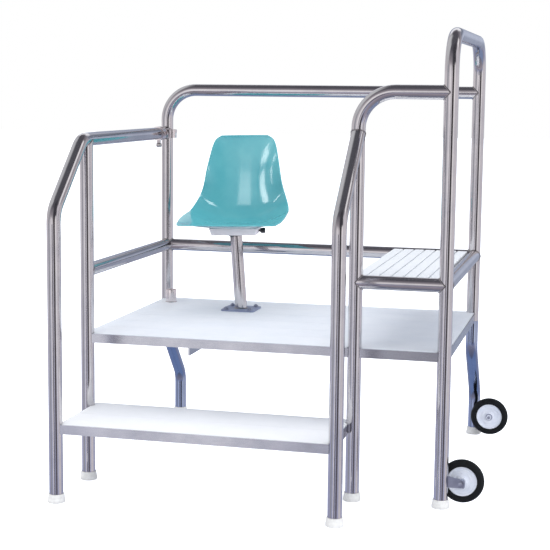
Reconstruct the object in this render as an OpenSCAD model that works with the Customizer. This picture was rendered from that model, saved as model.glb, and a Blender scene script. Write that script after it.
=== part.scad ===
// Movable lifeguard stand of bent stainless tube, in millimetres.
// X runs to the right along the step, Y runs from the step to the back, Z is up.
// The origin is on the floor, under the middle of the whole stand.

/* [Tube] */
// Outside diameter of the frame tube
tube_od = 48.3; // [44:0.1:50]
// Wall of the frame tube
tube_wall = 1.65; // [1.2:0.05:3]
// Centreline radius of the rail and loop bends
bend_r = 125; // [100:5:140]
// Centreline radius of the handrail and rear leg bends
lean_bend_r = 90; // [70:5:95]
// Gap at a coped tube end, which the weld fills
weld_gap = 0.2; // [0.1:0.05:0.3]

/* [Plan] */
// Distance from the step posts back to the platform posts, tube centres
step_d = 300; // [290:5:330]
// Distance between the step posts, tube centres
step_w = 980; // [800:10:1050]
// Distance from the left posts to the right posts, tube centres
stand_w = 1290; // [1270:5:1400]
// Distance that the rear legs kick back under the platform
kick_d = 185; // [150:5:220]

/* [Heights] */
// Top of the step's metal edge
step_z = 275; // [240:5:300]
// Top of the platform's metal edge
deck_z = 541; // [520:1:580]
// Centre of the mid rails and shelf rails
rail_z = 770; // [740:5:800]
// Centre of the left handrail
hand_z = 1238; // [1200:2:1260]
// Centre of the back rail and of the short front rail
top_z = 1416; // [1390:2:1440]
// Centre of the end loop's top
loop_z = 1610; // [1560:5:1660]
// Slope of the handrails, from the level
lean_deg = 42.5; // [40:0.5:45]
// Corner where the rear legs start to kick back
kick_top_z = 390; // [370:5:400]
// Corner where the rear legs stand upright again
kick_foot_z = 180; // [160:5:200]

/* [Decking] */
// Width of one ribbed plank
plank_w = 152.4; // [140:0.2:156]
// Number of planks in the platform
deck_planks = 6; // [5:1:6]
// Number of planks in the step
step_planks = 2; // [2:1:2]
// Width of one ribbed plank of the step
step_plank_w = 175.4; // [160:0.2:178]
// Number of ribs along a plank of the step
step_ribs = 14; // [10:1:16]
// Gap beside a plank
plank_gap = 1.5; // [1:0.5:2.5]
// Thickness of a plank's top skin
plank_skin = 5; // [4:0.5:7]
// Thickness of a plank's legs
plank_leg = 4; // [3:0.5:6]
// Number of ribs along a plank
plank_ribs = 12; // [8:1:14]
// Width of the groove between two ribs
groove_w = 3; // [2:0.5:4]
// Depth of the groove between two ribs
groove_d = 1.8; // [1:0.2:2.5]
// Height that the planks stand above their metal edge
plank_proud = 2; // [1:0.5:3]
// Height of the metal edge angle
angle_h = 32; // [28:1:38]
// Width of the metal edge angle's ledge
angle_w = 50; // [44:1:60]
// Thickness of the metal edge angle
angle_t = 3; // [2:0.5:4]
// Distance of the platform's outer face outside the post centres
edge_out = 13; // [10:0.5:16]
// Distance of the step's side face inside the post centres
step_in = 12; // [10:0.5:15]

/* [Shelf] */
// Top of the shelf slats
shelf_z = 790; // [788:1:793]
// Distance that the shelf reaches past the middle post's centre
shelf_lap = 10.45; // [8:0.05:14]
// Thickness of a slat
slat_t = 16; // [12:1:18]
// Gap between two slats
slat_gap = 4.8; // [4:0.2:6]
// Number of slats
slats = 7; // [5:1:7]
// Radius of a slat's edges
slat_edge_r = 2.5; // [1:0.5:4]
// Width of the ledge angle under the slats
ledge_w = 25; // [20:1:30]
// Distance of the slats' ends and sides from the rails
slat_clear = 1.5; // [1:0.5:3]

/* [Feet] */
// Diameter of a foot cap at the floor
foot_od = 62; // [58:1:68]
// Diameter of a foot cap at its top
foot_top_od = 55; // [54:0.5:57]
// Height of a foot cap
foot_h = 30; // [24:1:36]
// Thickness of a foot cap's floor
foot_floor = 6; // [4:1:8]

/* [Wheels] */
// Outside diameter of a wheel
wheel_od = 152; // [140:1:160]
// Width of a wheel's tyre
wheel_w = 38; // [32:1:42]
// Diameter of the wheel's pressed disc
hub_od = 110; // [100:1:114]
// Distance from a right leg's centre to its wheel's axle
wheel_reach = 68; // [66:1:80]
// Height of the axles
axle_z = 87; // [82:1:92]
// Diameter of an axle bolt
axle_od = 12; // [10:0.5:14]
// Thickness of a wheel bracket plate
bracket_t = 6; // [5:0.5:8]
// Height of a wheel bracket at its leg
bracket_h = 40; // [34:1:46]
// Height of a wheel bracket at the axle
bracket_tip_h = 27; // [24:1:32]

/* [Seat] */
// Distance of the seat post's foot from the left posts
seat_x_in = 386; // [340:2:440]
// Lean of the seat post to the left
post_lean = 4.5; // [0:0.5:6]
// Rise of the seat's right side, from the level
seat_tilt = 1.3; // [0:0.1:3]
// Angle that the seat is turned at rest, positive towards the stand's right
seat_turn = 8; // [-30:1:30]
// Length of the seat post
post_len = 292; // [240:2:340]
// Outside diameter of the seat post
post_od = 48.3; // [44:0.1:50]
// Wall of the seat post
post_wall = 3; // [2.5:0.1:4]
// Side of the square base plate
base_side = 136; // [130:1:150]
// Thickness of the base plate
base_t = 6; // [4:0.5:8]
// Distance between the base plate's bolts
base_pitch = 98; // [92:1:104]
// Width of the seat bracket at its top
tray_w = 197; // [180:1:198]
// Width of the seat bracket at its open foot
tray_foot_w = 176; // [160:1:178]
// Depth of the seat bracket from front to back
tray_d = 140; // [120:1:144]
// Height of the seat bracket
tray_h = 29; // [28:1:32]
// Thickness of the seat bracket's steel
tray_t = 3; // [2:0.5:4]
// Thickness of the moulded seat
shell_t = 5; // [4:0.5:7]

/* [Umbrella holder] */
// Bore of the ring and of the cup, for a pole of 38 mm
pole_bore = 38.7; // [38.4:0.1:39.5]
// Outside diameter of the cup
cup_od = 42.2; // [42:0.1:46]
// Height of the cup
cup_h = 52; // [45:1:60]
// Thickness of the cup's floor
cup_floor = 4; // [3:0.5:6]
// Outside diameter of the ring
ring_od = 45; // [44:0.5:48]
// Height of the ring
ring_h = 34; // [28:1:40]
// Distance of the pole's centre from the left posts
pole_x_in = 54; // [52:0.5:60]
// Distance of the pole's centre in front of the back posts
pole_y_in = 110; // [80:2:130]

/* [Hidden] */

// Roundness of the turned and drilled shapes
$fn = 64;
// Overcut of a cutting shape past the face that it opens
over = 1;

tube_r = tube_od / 2;
cope_r = tube_r + weld_gap;
// A leaning tube is drawn in straights and bends, this far apart
hairline = 0.05;

// The platform is as deep as its planks, their gaps and its two metal edges
deck_outer_d = deck_planks * plank_w + (deck_planks + 1) * plank_gap + 2 * angle_t;
step_outer_d = step_planks * step_plank_w + (step_planks + 1) * plank_gap + 2 * angle_t;
deck_d = deck_outer_d - 2 * edge_out;

// Whole width and depth on the floor, which set the origin
whole_w = foot_od / 2 + stand_w + wheel_reach + wheel_od / 2;
whole_d = foot_od + step_d + deck_d + kick_d;

x_left = foot_od / 2 - whole_w / 2;
x_step = x_left + step_w;
x_right = x_left + stand_w;
y_front = foot_od / 2 - whole_d / 2;
y_post = y_front + step_d;
y_back = y_post + deck_d;
y_heel = y_back + kick_d;

// Outer faces of the platform and of the step
deck_x0 = x_left - edge_out;
deck_x1 = x_right + edge_out;
deck_y0 = y_post - edge_out;
deck_y1 = y_back + edge_out;
step_x0 = x_left + step_in;
step_x1 = x_step - step_in;
step_y0 = y_front - edge_out;
step_y1 = step_y0 + step_outer_d;

// Levels of the decking
plank_h = angle_h - angle_t + plank_proud;
deck_top = deck_z + plank_proud;
deck_seat = deck_z - angle_h + angle_t;
deck_foot = deck_z - angle_h;
step_seat = step_z - angle_h + angle_t;
plank_step = plank_w + plank_gap;

// A tube stands this far above the floor, inside its foot cap
tube_foot = foot_floor + weld_gap;

// Corner points of the bent tubes, in their own planes
lean_rise = tan(lean_deg);
join_past = 60;
right_run = 100;
lean_z = hand_z - 256 * lean_rise;
lean_y = y_front + (hand_z - lean_z) / lean_rise;
meet_z = lean_z + step_d * lean_rise;
// The left post's top is also cut for the start of the handrail's bend above it
post_sag = 4.5;
lean_foot = [y_front, lean_z];
lean_head = [lean_y, hand_z];
left_join = [lean_y + join_past, hand_z];
right_join = [y_front + right_run, lean_z + right_run * lean_rise];
middle_path = [[x_step, tube_foot], [x_step, top_z], [x_right, top_z]];
loop_path = [[y_post, tube_foot], [y_post, loop_z], [y_back, loop_z], [y_back, deck_foot]];
back_path = [[x_left, deck_foot], [x_left, top_z], [x_right, top_z]];
leg_path = [[y_back, deck_foot - weld_gap], [y_back, kick_top_z], [y_heel, kick_foot_z], [y_heel, tube_foot]];

// Shelf slats fill the bay behind the short front rail
shelf_x0 = x_step - shelf_lap;
shelf_x1 = x_right - tube_r - slat_clear;
slat_w = (shelf_x1 - shelf_x0 - (slats - 1) * slat_gap) / slats;
shelf_y0 = y_post + tube_r + slat_clear;
shelf_y1 = y_back - tube_r - slat_clear;
ledge_z = shelf_z - slat_t;
ledge_t = 3;
crossbar_w = 30;

// Wheels turn beside the plates, which are welded to the middle of the right legs
axle_x = x_right + wheel_reach;
side_play = 0.3;
leg_gap = 2;
washer_t = 2.5;
washer_od = 28;
spacer_od = 22;
hub_len = wheel_w - 6;
wheel_off = tube_r + leg_gap + wheel_w / 2;
spacer_len = wheel_off - hub_len / 2 - side_play - bracket_t / 2;
hub_end = wheel_off + hub_len / 2 + side_play;
front_wheel_y = y_post + wheel_off;
rear_wheel_y = y_heel - wheel_off;
bush_od = 20;
run_fit = 0.05;
nut_af = 19;
nut_h = 10;
head_h = 7.5;
axle_end = 3;

// Seat post foot, on the middle of the fifth plank
seat_plank = 5;
seat_x = x_left + seat_x_in;
seat_y = deck_y0 + angle_t + plank_gap + (seat_plank - 1) * plank_step + plank_w / 2;
base_top = deck_top + base_t;
stem_od = 32;
collar_od = 58;
collar_h = 26;
shoulder_od = 50;
shoulder_t = 4;
sleeve_len = 70;
bolt_od = 10;
bolt_clear = 0.5;
pad_w = 150;
web_t = 6;
web_drop = 28;
seat_bolt_x = 70;
seat_bolt_y = 48;
seat_bolt_od = 8;
lock_od = 8;
lock_knob_od = 22;
lock_knob_len = 20;
lock_drop = 15;
// Height of the seat bracket's top above the post's top, along the post
tray_rise = collar_h + side_play + shoulder_t + tray_t + 3;

// Umbrella pole, and the clamp that holds its ring on the left handrail
pole_x = x_left + pole_x_in;
pole_y = y_back - pole_y_in;
clamp_wall = 4;
clamp_boss_od = 18;
clamp_boss_h = 10;
knob_od = 23;
knob_h = 17;
stud_od = 8;

// Seat shell stations from the front lip over the pan and up the back, along its underside:
// place back, height, half width, then how far the sides come forward and up
shell_stations = [
    [-187, 13, 150, 0, 2],
    [-186, 19, 184, 0, 4],
    [-178, 24, 203, 0, 8],
    [-158, 21, 216, 0, 20],
    [-125, 9, 222, 0, 42],
    [-85, 1, 225, 0, 60],
    [-30, 0, 226, 0, 72],
    [25, 0, 226, 2, 78],
    [75, 1.5, 224, 14, 82],
    [120, 12, 217, 38, 78],
    [148, 42, 204, 62, 62],
    [163, 86, 186, 68, 34],
    [174, 140, 170, 58, 14],
    [184, 205, 156, 44, 4],
    [193, 270, 145, 32, 0],
    [200, 320, 135, 22, 0],
    [204, 343, 122, 14, 0],
    [206, 352, 98, 10, 0]];
// Gap under the shell, for the sealant between it and the bracket
shell_seat = 0.2;
rows_per_span = 2;
shell_cols = 28;
// Share of the half width over which the pan and the back stay flat
flat_share = 0.45;

// Unit direction from one point to another
function aim(a, b) = (b - a) / norm(b - a);
// Compass angle of a plane direction
function heading(d) = atan2(d[1], d[0]);
// Turn at a corner of a path, between minus and plus 180 degrees
function turn_at(p, i) = let (t = heading(aim(p[i], p[i + 1])) - heading(aim(p[i - 1], p[i])))
    t > 180 ? t - 360 : t < -180 ? t + 360 : t;
// Length that a bend takes from each straight beside its corner
function trim_at(p, i, r) = i == 0 || i == len(p) - 1 ? 0 : r * tan(abs(turn_at(p, i)) / 2);
// Section of a tube, or of a solid bar where the wall is nothing
module tube_section(d, wall) difference() {
    circle(d = d);
    if (wall > 0) circle(d = d - 2 * wall);
}

// Bent tube from its straight number i on: each piece is placed from the end of the one before it
module tube_rest(p, i, r, d, wall, seam) {
    reach = norm(p[i + 1] - p[i]) - trim_at(p, i, r) - trim_at(p, i + 1, r);
    seams = (i > 0 ? seam : 0) + (i < len(p) - 2 ? seam : 0);
    translate([i > 0 ? seam : 0, 0, 0]) rotate([0, 90, 0]) linear_extrude(reach - seams)
        tube_section(d, wall);
    if (i < len(p) - 2) {
        t = turn_at(p, i + 1);
        side = sign(t);
        translate([reach, side * r, 0]) {
            rotate([0, 0, side > 0 ? -90 : 90 + t]) rotate_extrude(angle = abs(t))
                translate([r, 0]) tube_section(d, wall);
            rotate([0, 0, t]) translate([0, -side * r, 0]) tube_rest(p, i + 1, r, d, wall, seam);
        }
    }
}

// Tube along a plane path, with a true bend at each inner corner
module bent_tube(p, r, d, wall, seam) translate([p[0][0], p[0][1], 0])
    rotate([0, 0, heading(aim(p[0], p[1]))]) tube_rest(p, 0, r, d, wall, seam);

// Turns a plane path's first number into X, or into Y, and its second into Z
module upright_x(y) translate([0, y, 0]) rotate([90, 0, 0]) children();
module upright_y(x) translate([x, 0, 0]) rotate([90, 0, 90]) children();

// One of the stand's own tubes, and the room that it takes out of a neighbour's end
module pipe(p, r, seam = 0) bent_tube(p, r, tube_od, tube_wall, seam);
module room(p, r) bent_tube(p, r, 2 * cope_r, 0, 0);
module post_room(x, y) translate([x, y, 0]) cylinder(h = loop_z, r = cope_r);
module stand_posts() {
    post_room(x_left, y_front);
    post_room(x_step, y_front);
    post_room(x_left, y_post);
    post_room(x_step, y_post);
    post_room(x_right, y_post);
    post_room(x_left, y_back);
    post_room(x_right, y_back);
}

// Straight rail between two posts, coped at both ends
module cross_rail(x, y, turn, reach, z) difference() {
    translate([x, y, z]) rotate([0, 0, turn]) rotate([0, 90, 0]) difference() {
        cylinder(h = reach, r = tube_r);
        translate([0, 0, -over]) cylinder(h = reach + 2 * over, r = tube_r - tube_wall);
    }
    stand_posts();
}

// Straight end of a tube in the plane at x, coped against the post behind it
module coped_end(x, from, to, post_y) difference() {
    upright_y(x) pipe([from + hairline * aim(from, to), to], 0);
    translate([x, post_y, 0]) cylinder(h = top_z, r = cope_r);
}

module left_handrail() color("silver") {
    upright_y(x_left) pipe([[y_front, tube_foot], lean_foot, lean_head, left_join], lean_bend_r, hairline);
    coped_end(x_left, left_join, [y_back, hand_z], y_back);
}

module left_post() color("silver") difference() {
    translate([x_left, y_post, tube_foot]) difference() {
        cylinder(h = hand_z - tube_foot, r = tube_r);
        translate([0, 0, -over]) cylinder(h = hand_z, r = tube_r - tube_wall);
    }
    translate([x_left, y_post + 2 * tube_r, hand_z]) rotate([90, 0, 0]) cylinder(h = 4 * tube_r, r = cope_r);
    translate([x_left, y_post, hand_z]) rotate([90 + post_sag, 0, 0]) cylinder(h = 2 * tube_r, r = cope_r);
}

module right_handrail() color("silver") {
    upright_y(x_step) pipe([[y_front, tube_foot], lean_foot, right_join], lean_bend_r, hairline);
    coped_end(x_step, right_join, [y_post, meet_z], y_post);
}

module middle_post_rail() color("silver") difference() {
    upright_x(y_post) pipe(middle_path, bend_r);
    post_room(x_right, y_post);
}

module end_loop() color("silver") upright_y(x_right) pipe(loop_path, bend_r);

module back_rail() color("silver") difference() {
    upright_x(y_back) pipe(back_path, bend_r);
    post_room(x_right, y_back);
}

module rear_leg_left() color("silver") upright_y(x_left) pipe(leg_path, lean_bend_r, hairline);
module rear_leg_right() color("silver") upright_y(x_right) pipe(leg_path, lean_bend_r, hairline);
// Room of a rail along X, which the side rails stop against in the corner beside a post
module rail_room(x, y, reach) translate([x + tube_r / 3, y, rail_z]) rotate([0, 90, 0])
    cylinder(h = reach - 2 * tube_r / 3, r = cope_r);

module back_mid_rail() color("silver") cross_rail(x_left, y_back, 0, stand_w, rail_z);
module shelf_front_rail() color("silver") cross_rail(x_step, y_post, 0, stand_w - step_w, rail_z);
module left_mid_rail() color("silver") difference() {
    cross_rail(x_left, y_post, 90, deck_d, rail_z);
    rail_room(x_left, y_back, stand_w);
}
module shelf_side_rail() color("silver") difference() {
    cross_rail(x_right, y_post, 90, deck_d, rail_z);
    rail_room(x_left, y_back, stand_w);
    rail_room(x_step, y_post, stand_w - step_w);
}

// Angle bar along X, its upright face at the front and its ledge running back from its foot
module angle_bar(reach, w, h, t) rotate([90, 0, 90]) linear_extrude(reach)
    polygon([[0, 0], [w, 0], [w, t], [t, t], [t, h], [0, h]]);

// Metal edge of a deck: an angle bar from a corner, coped round the posts that it meets
module edge_angle(x, y, z, turn, reach) translate([x, y, z - angle_h]) rotate([0, 0, turn])
    angle_bar(reach, angle_w, angle_h, angle_t);

// Room of the front and back ledges, which the side ledges stop against
module ledge_room(x0, x1, y0, y1, z) {
    for (y = [y0 - over, y1 - angle_w - weld_gap])
        translate([x0 - weld_gap, y, z - angle_h - over])
            cube([x1 - x0 + 2 * weld_gap, angle_w + weld_gap + over, angle_t + over]);
}

module deck_angle_front() color("lightgray") difference() {
    edge_angle(x_left, deck_y0, deck_z, 0, step_w);
    stand_posts();
}

module deck_angle_bay() color("lightgray") difference() {
    edge_angle(x_step, deck_y0, deck_z, 0, x_right - x_step);
    stand_posts();
    translate([x_step - over, deck_y0 - over, deck_foot - over])
        cube([over + weld_gap, edge_out * 4 + over, angle_h + 2 * over]);
}

module deck_angle_back() color("lightgray") difference() {
    edge_angle(x_right, deck_y1, deck_z, 180, stand_w);
    stand_posts();
}

module deck_angle_left() color("lightgray") difference() {
    edge_angle(deck_x0, y_back, deck_z, -90, deck_d);
    stand_posts();
    ledge_room(x_left, x_right, deck_y0, deck_y1, deck_z);
}

module deck_angle_right() color("lightgray") difference() {
    edge_angle(deck_x1, y_post, deck_z, 90, deck_d);
    stand_posts();
    ledge_room(x_left, x_right, deck_y0, deck_y1, deck_z);
}

module step_angle_front() color("lightgray") difference() {
    edge_angle(x_left, step_y0, step_z, 0, step_w);
    stand_posts();
}

module step_angle_back() color("lightgray") difference() {
    edge_angle(step_x1, step_y1, step_z, 180, step_x1 - step_x0);
    stand_posts();
}

module step_angle_left() color("lightgray") difference() {
    edge_angle(step_x0, step_y1 - angle_t - weld_gap, step_z, -90, step_outer_d - 2 * angle_t - 2 * weld_gap);
    stand_posts();
    ledge_room(x_left, x_step, step_y0, step_y1, step_z);
}

module step_angle_right() color("lightgray") difference() {
    edge_angle(step_x1, step_y0 + angle_t + weld_gap, step_z, 90, step_outer_d - 2 * angle_t - 2 * weld_gap);
    stand_posts();
    ledge_room(x_left, x_step, step_y0, step_y1, step_z);
}

// Shallow channels that carry the planks between the front and back ledges
bearer_y0 = deck_y0 + angle_w + weld_gap;
bearer_d = deck_outer_d - 2 * angle_w - 2 * weld_gap;
bearer_w = 40;
bearer_h = 12;
module deck_bearers() color("lightgray")
    for (x = [(seat_x + x_step) / 2, (x_step + x_right) / 2])
        translate([x - bearer_w / 2, bearer_y0, deck_seat])
            rotate([-90, 0, 0]) linear_extrude(bearer_d) polygon([[0, 0], [bearer_w, 0],
                [bearer_w, bearer_h], [bearer_w - angle_t, bearer_h], [bearer_w - angle_t, angle_t],
                [angle_t, angle_t], [angle_t, bearer_h], [0, bearer_h]]);

// Web and pad under the seat post, hung between the front and back edges
module seat_bearer() color("lightgray") difference() {
    union() {
        translate([seat_x - web_t / 2, deck_y0 + angle_t, deck_foot - web_drop])
            cube([web_t, deck_outer_d - 2 * angle_t, web_drop - weld_gap]);
        translate([seat_x - web_t / 2, bearer_y0, deck_foot - web_drop])
            cube([web_t, bearer_d, web_drop + angle_t - over]);
        translate([seat_x - pad_w / 2, seat_y - pad_w / 2, deck_foot])
            cube([pad_w, pad_w, angle_t]);
    }
    base_bolt_places() translate([0, 0, -over]) cylinder(h = deck_top, d = bolt_od + 2 * bolt_clear);
}

// Section of a ribbed plank, its ribs up and its legs down
function plank_section(w, ribs) = let (pitch = w / ribs, top = plank_h, skin = plank_h - plank_skin,
        mid = w / 2, leg = plank_leg)
    concat([[0, 0], [0, top - groove_d]],
        [for (i = [0:ribs - 1], end = [0, 1], k = [end, 1 - end])
            [(i + end) * pitch + (end == 0 ? 1 : -1) * groove_w / 2, k == 0 ? top - groove_d : top]],
        [[w, top - groove_d], [w, 0], [w - leg, 0], [w - leg, skin],
            [mid + leg / 2, skin], [mid + leg / 2, 0], [mid - leg / 2, 0], [mid - leg / 2, skin],
            [leg, skin], [leg, 0]]);

module plank(x0, x1, y, z, w = plank_w, ribs = plank_ribs) translate([x0 + plank_gap, y, z])
    rotate([90, 0, 90]) linear_extrude(x1 - x0 - 2 * plank_gap) polygon(plank_section(w, ribs));

// Room for a post where it passes through the decking
module post_notches() for (p = [[x_left, y_front], [x_step, y_front], [x_left, y_post], [x_step, y_post],
        [x_right, y_post], [x_left, y_back], [x_right, y_back]])
    translate([p[0], p[1], 0]) cylinder(h = deck_z + angle_h, r = tube_r + plank_gap);

module deck_plank(i) color("white") difference() {
    plank(deck_x0 + angle_t, deck_x1 - angle_t, deck_y0 + angle_t + plank_gap + (i - 1) * plank_step, deck_seat);
    post_notches();
    if (i == seat_plank) base_bolt_places() cylinder(h = deck_top + over, d = bolt_od + 2 * bolt_clear);
}

module step_tread(i) color("white") difference() {
    plank(step_x0 + angle_t, step_x1 - angle_t, step_y0 + angle_t + plank_gap
        + (i - 1) * (step_plank_w + plank_gap), step_seat, step_plank_w, step_ribs);
    post_notches();
}

// Ledge angles round three sides of the shelf, one welded piece
module shelf_ledge() color("lightgray") difference() {
    union() {
        translate([shelf_x0, y_post + cope_r, ledge_z - ledge_w])
            cube([x_right - cope_r - shelf_x0, ledge_t, ledge_w]);
        translate([shelf_x0, y_post + cope_r, ledge_z - ledge_t])
            cube([x_right - cope_r - shelf_x0, ledge_w, ledge_t]);
        translate([shelf_x0, y_back - cope_r - ledge_t, ledge_z - ledge_w])
            cube([x_right - cope_r - shelf_x0, ledge_t, ledge_w]);
        translate([shelf_x0, y_back - cope_r - ledge_w, ledge_z - ledge_t])
            cube([x_right - cope_r - shelf_x0, ledge_w, ledge_t]);
        translate([shelf_x0, y_post + cope_r, ledge_z - ledge_w])
            cube([ledge_t, deck_d - 2 * cope_r, ledge_w]);
        translate([shelf_x0, y_post + cope_r, ledge_z - ledge_t])
            cube([ledge_w, deck_d - 2 * cope_r, ledge_t]);
    }
    stand_posts();
}

module shelf_crossbars() color("lightgray") difference() {
    for (k = [1, 2])
        translate([shelf_x0 + ledge_w + weld_gap, y_post + k * deck_d / 3 - crossbar_w / 2, ledge_z - ledge_t])
            cube([x_right - shelf_x0 - ledge_w, crossbar_w, ledge_t]);
    upright_y(x_right) room([[y_front, rail_z], [y_heel, rail_z]], bend_r);
}

// Slat with rounded edges, laid along Y
module slat(x) translate([x, shelf_y1, ledge_z]) rotate([90, 0, 0]) linear_extrude(shelf_y1 - shelf_y0) {
    translate([slat_edge_r, 0]) square([slat_w - 2 * slat_edge_r, slat_t]);
    translate([0, slat_edge_r]) square([slat_w, slat_t - 2 * slat_edge_r]);
    for (u = [slat_edge_r, slat_w - slat_edge_r], v = [slat_edge_r, slat_t - slat_edge_r])
        translate([u, v]) circle(r = slat_edge_r, $fn = 32);
}

module shelf_slats() color("white")
    for (i = [0:slats - 1]) slat(shelf_x0 + i * (slat_w + slat_gap));

// Flanged cap with a blind bore for the tube's foot
module foot_cap(x, y) translate([x, y, 0]) rotate_extrude() polygon([
    [0, 0], [foot_od / 2 - 2, 0], [foot_od / 2, 3], [foot_od / 2, foot_h * 0.45],
    [foot_top_od / 2, foot_h - 3], [foot_top_od / 2 - 1.5, foot_h],
    [tube_r + weld_gap / 2, foot_h], [tube_r + weld_gap / 2, foot_floor], [0, foot_floor]]);

module foot_caps() color("whitesmoke") {
    for (x = [x_left, x_step]) foot_cap(x, y_front);
    for (x = [x_left, x_step, x_right]) foot_cap(x, y_post);
    for (x = [x_left, x_right]) foot_cap(x, y_heel);
}

// Tapered plate welded to the right side of a leg, with the axle's hole near its tip
module wheel_plate(leg_y) color("lightgray") difference() {
    translate([0, leg_y + bracket_t / 2, axle_z]) rotate([90, 0, 0]) linear_extrude(bracket_t) polygon([
        [x_right + tube_r * 0.8, -bracket_tip_h / 2], [axle_x + bracket_tip_h / 2 - 3, -bracket_tip_h / 2],
        [axle_x + bracket_tip_h / 2, 3 - bracket_tip_h / 2], [axle_x + bracket_tip_h / 2, bracket_tip_h / 2 - 3],
        [axle_x + bracket_tip_h / 2 - 3, bracket_tip_h / 2],
        [x_right + tube_r * 0.8, bracket_h - bracket_tip_h / 2]]);
    translate([x_right, leg_y, 0]) cylinder(h = deck_foot, r = cope_r);
    along_y(leg_y - bracket_t) cylinder(h = 2 * bracket_t, d = axle_od + 2 * bolt_clear);
}
module front_wheel_bracket() wheel_plate(y_post);
module rear_wheel_bracket() wheel_plate(y_heel);

// Puts a shape drawn up the Z axis on an axle's line, from a place along Y
module along_y(y) translate([axle_x, y, axle_z]) rotate([-90, 0, 0]) children();

module tyre(y) color("black") along_y(y) rotate_extrude() difference() {
    union() {
        translate([hub_od / 2 - 3, 6 - wheel_w / 2]) square([wheel_od / 2 - hub_od / 2 - 7, wheel_w - 12]);
        translate([wheel_od / 2 - 16, 0]) scale([1, 1]) circle(r = 16, $fn = 48);
        translate([hub_od / 2 + 4, 7 - wheel_w / 2]) circle(r = 7, $fn = 48);
        translate([hub_od / 2 + 4, wheel_w / 2 - 7]) circle(r = 7, $fn = 48);
    }
    translate([0, -wheel_w]) square([hub_od / 2 - 3 + over / 100, 2 * wheel_w]);
}
module front_tyre() tyre(front_wheel_y);
module rear_tyre() tyre(rear_wheel_y);

// Pressed disc with a raised rim seat, a dished web and a hub barrel
module hub(y) color("aliceblue") along_y(y) difference() {
    rotate_extrude() polygon([
        [bush_od / 2 + run_fit, -hub_len / 2], [17, -hub_len / 2], [19, -hub_len / 2 + 3], [19, -8], [26, -5.5],
        [40, -4.5], [hub_od / 2 - 9, -8], [hub_od / 2 - 6, -10], [hub_od / 2 - 3 - run_fit, -10],
        [hub_od / 2 - 3 - run_fit, 10], [hub_od / 2 - 6, 10], [hub_od / 2 - 9, 8], [40, 4.5], [26, 5.5],
        [19, 8], [19, hub_len / 2 - 3], [17, hub_len / 2], [bush_od / 2 + run_fit, hub_len / 2]]);
}
module front_hub() hub(front_wheel_y);
module rear_hub() hub(rear_wheel_y);

module bush(y) color("dimgray") along_y(y - hub_len / 2) difference() {
    cylinder(h = hub_len, d = bush_od);
    translate([0, 0, -over]) cylinder(h = hub_len + 2 * over, d = axle_od + 2 * run_fit);
}
module front_bush() bush(front_wheel_y);
module rear_bush() bush(rear_wheel_y);

// Axle bolt from the plate's outer face; way is 1 where the wheel is behind its plate
module axle(leg_y, way) color("gainsboro") translate([axle_x, leg_y, axle_z]) rotate([-90 * way, 0, 0]) {
    reach = bracket_t / 2 + hub_end + washer_t + nut_h + axle_end;
    translate([0, 0, -bracket_t / 2]) cylinder(h = reach, d = axle_od);
    translate([0, 0, -bracket_t / 2 - head_h]) cylinder(h = head_h, d = nut_af / cos(30), $fn = 6);
}
module front_axle() axle(y_post, 1);
module rear_axle() axle(y_heel, -1);

// A ring on an axle's line, starting a distance from the leg's middle
module axle_ring(leg_y, way, start, thick, outer, sides) translate([axle_x, leg_y, axle_z])
    rotate([-90 * way, 0, 0]) translate([0, 0, start]) difference() {
        cylinder(h = thick, d = outer, $fn = sides);
        translate([0, 0, -over]) cylinder(h = thick + 2 * over, d = axle_od + 2 * run_fit);
    }

module axle_nuts() color("gainsboro") for (leg = [[y_post, 1], [y_heel, -1]])
    axle_ring(leg[0], leg[1], hub_end + washer_t, nut_h, nut_af / cos(30), 6);

module axle_spacers() color("gainsboro") for (leg = [[y_post, 1], [y_heel, -1]]) {
    axle_ring(leg[0], leg[1], bracket_t / 2, spacer_len, spacer_od, 64);
    axle_ring(leg[0], leg[1], hub_end, washer_t, washer_od, 64);
}

// Places of the four bolts through the base plate
module base_bolt_places() for (sx = [-1, 1], sy = [-1, 1])
    translate([seat_x + sx * base_pitch / 2, seat_y + sy * base_pitch / 2, 0]) children();

module seat_base() color("slategray") difference() {
    translate([seat_x - base_side / 2, seat_y - base_side / 2, deck_top]) cube([base_side, base_side, base_t]);
    base_bolt_places() cylinder(h = base_top + over, d = bolt_od + 2 * bolt_clear);
}

module seat_base_bolts() color("gainsboro") base_bolt_places() {
    translate([0, 0, deck_foot - 11]) cylinder(h = base_top - deck_foot + 11, d = bolt_od);
    translate([0, 0, base_top]) cylinder(h = 6.5, d = 17 / cos(30), $fn = 6);
    translate([0, 0, deck_foot - 8]) difference() {
        cylinder(h = 8, d = 17 / cos(30), $fn = 6);
        translate([0, 0, -over]) cylinder(h = 8 + 2 * over, d = bolt_od + 2 * run_fit);
    }
}

// The seat post's own axis, from the middle of the base plate
module on_post(h) translate([seat_x, seat_y, base_top]) rotate([0, -post_lean, 0])
    translate([0, 0, h]) children();
// The seat bracket's top plate, turned and nearly level
module on_tray() on_post(post_len + tray_rise) rotate([0, post_lean - seat_tilt, 0])
    rotate([0, 0, seat_turn]) children();

module seat_post() color("silver") difference() {
    on_post(-post_od / 4) cylinder(h = post_len + post_od / 4, d = post_od);
    on_post(-post_od) cylinder(h = post_len + 2 * post_od, d = post_od - 2 * post_wall);
    translate([seat_x - base_side / 2, seat_y - base_side / 2, base_top + weld_gap - post_od])
        cube([base_side, base_side, post_od]);
}

// Collar that lines the top of the post and carries the seat's stem
module swivel_collar() color("dimgray") difference() {
    union() {
        on_post(post_len) cylinder(h = collar_h, d = collar_od);
        on_post(post_len - sleeve_len) cylinder(h = sleeve_len, d = post_od - 2 * post_wall - 2 * run_fit);
    }
    on_post(post_len - sleeve_len - over)
        cylinder(h = sleeve_len + collar_h + 2 * over, d = stem_od + 2 * run_fit);
}

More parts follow.
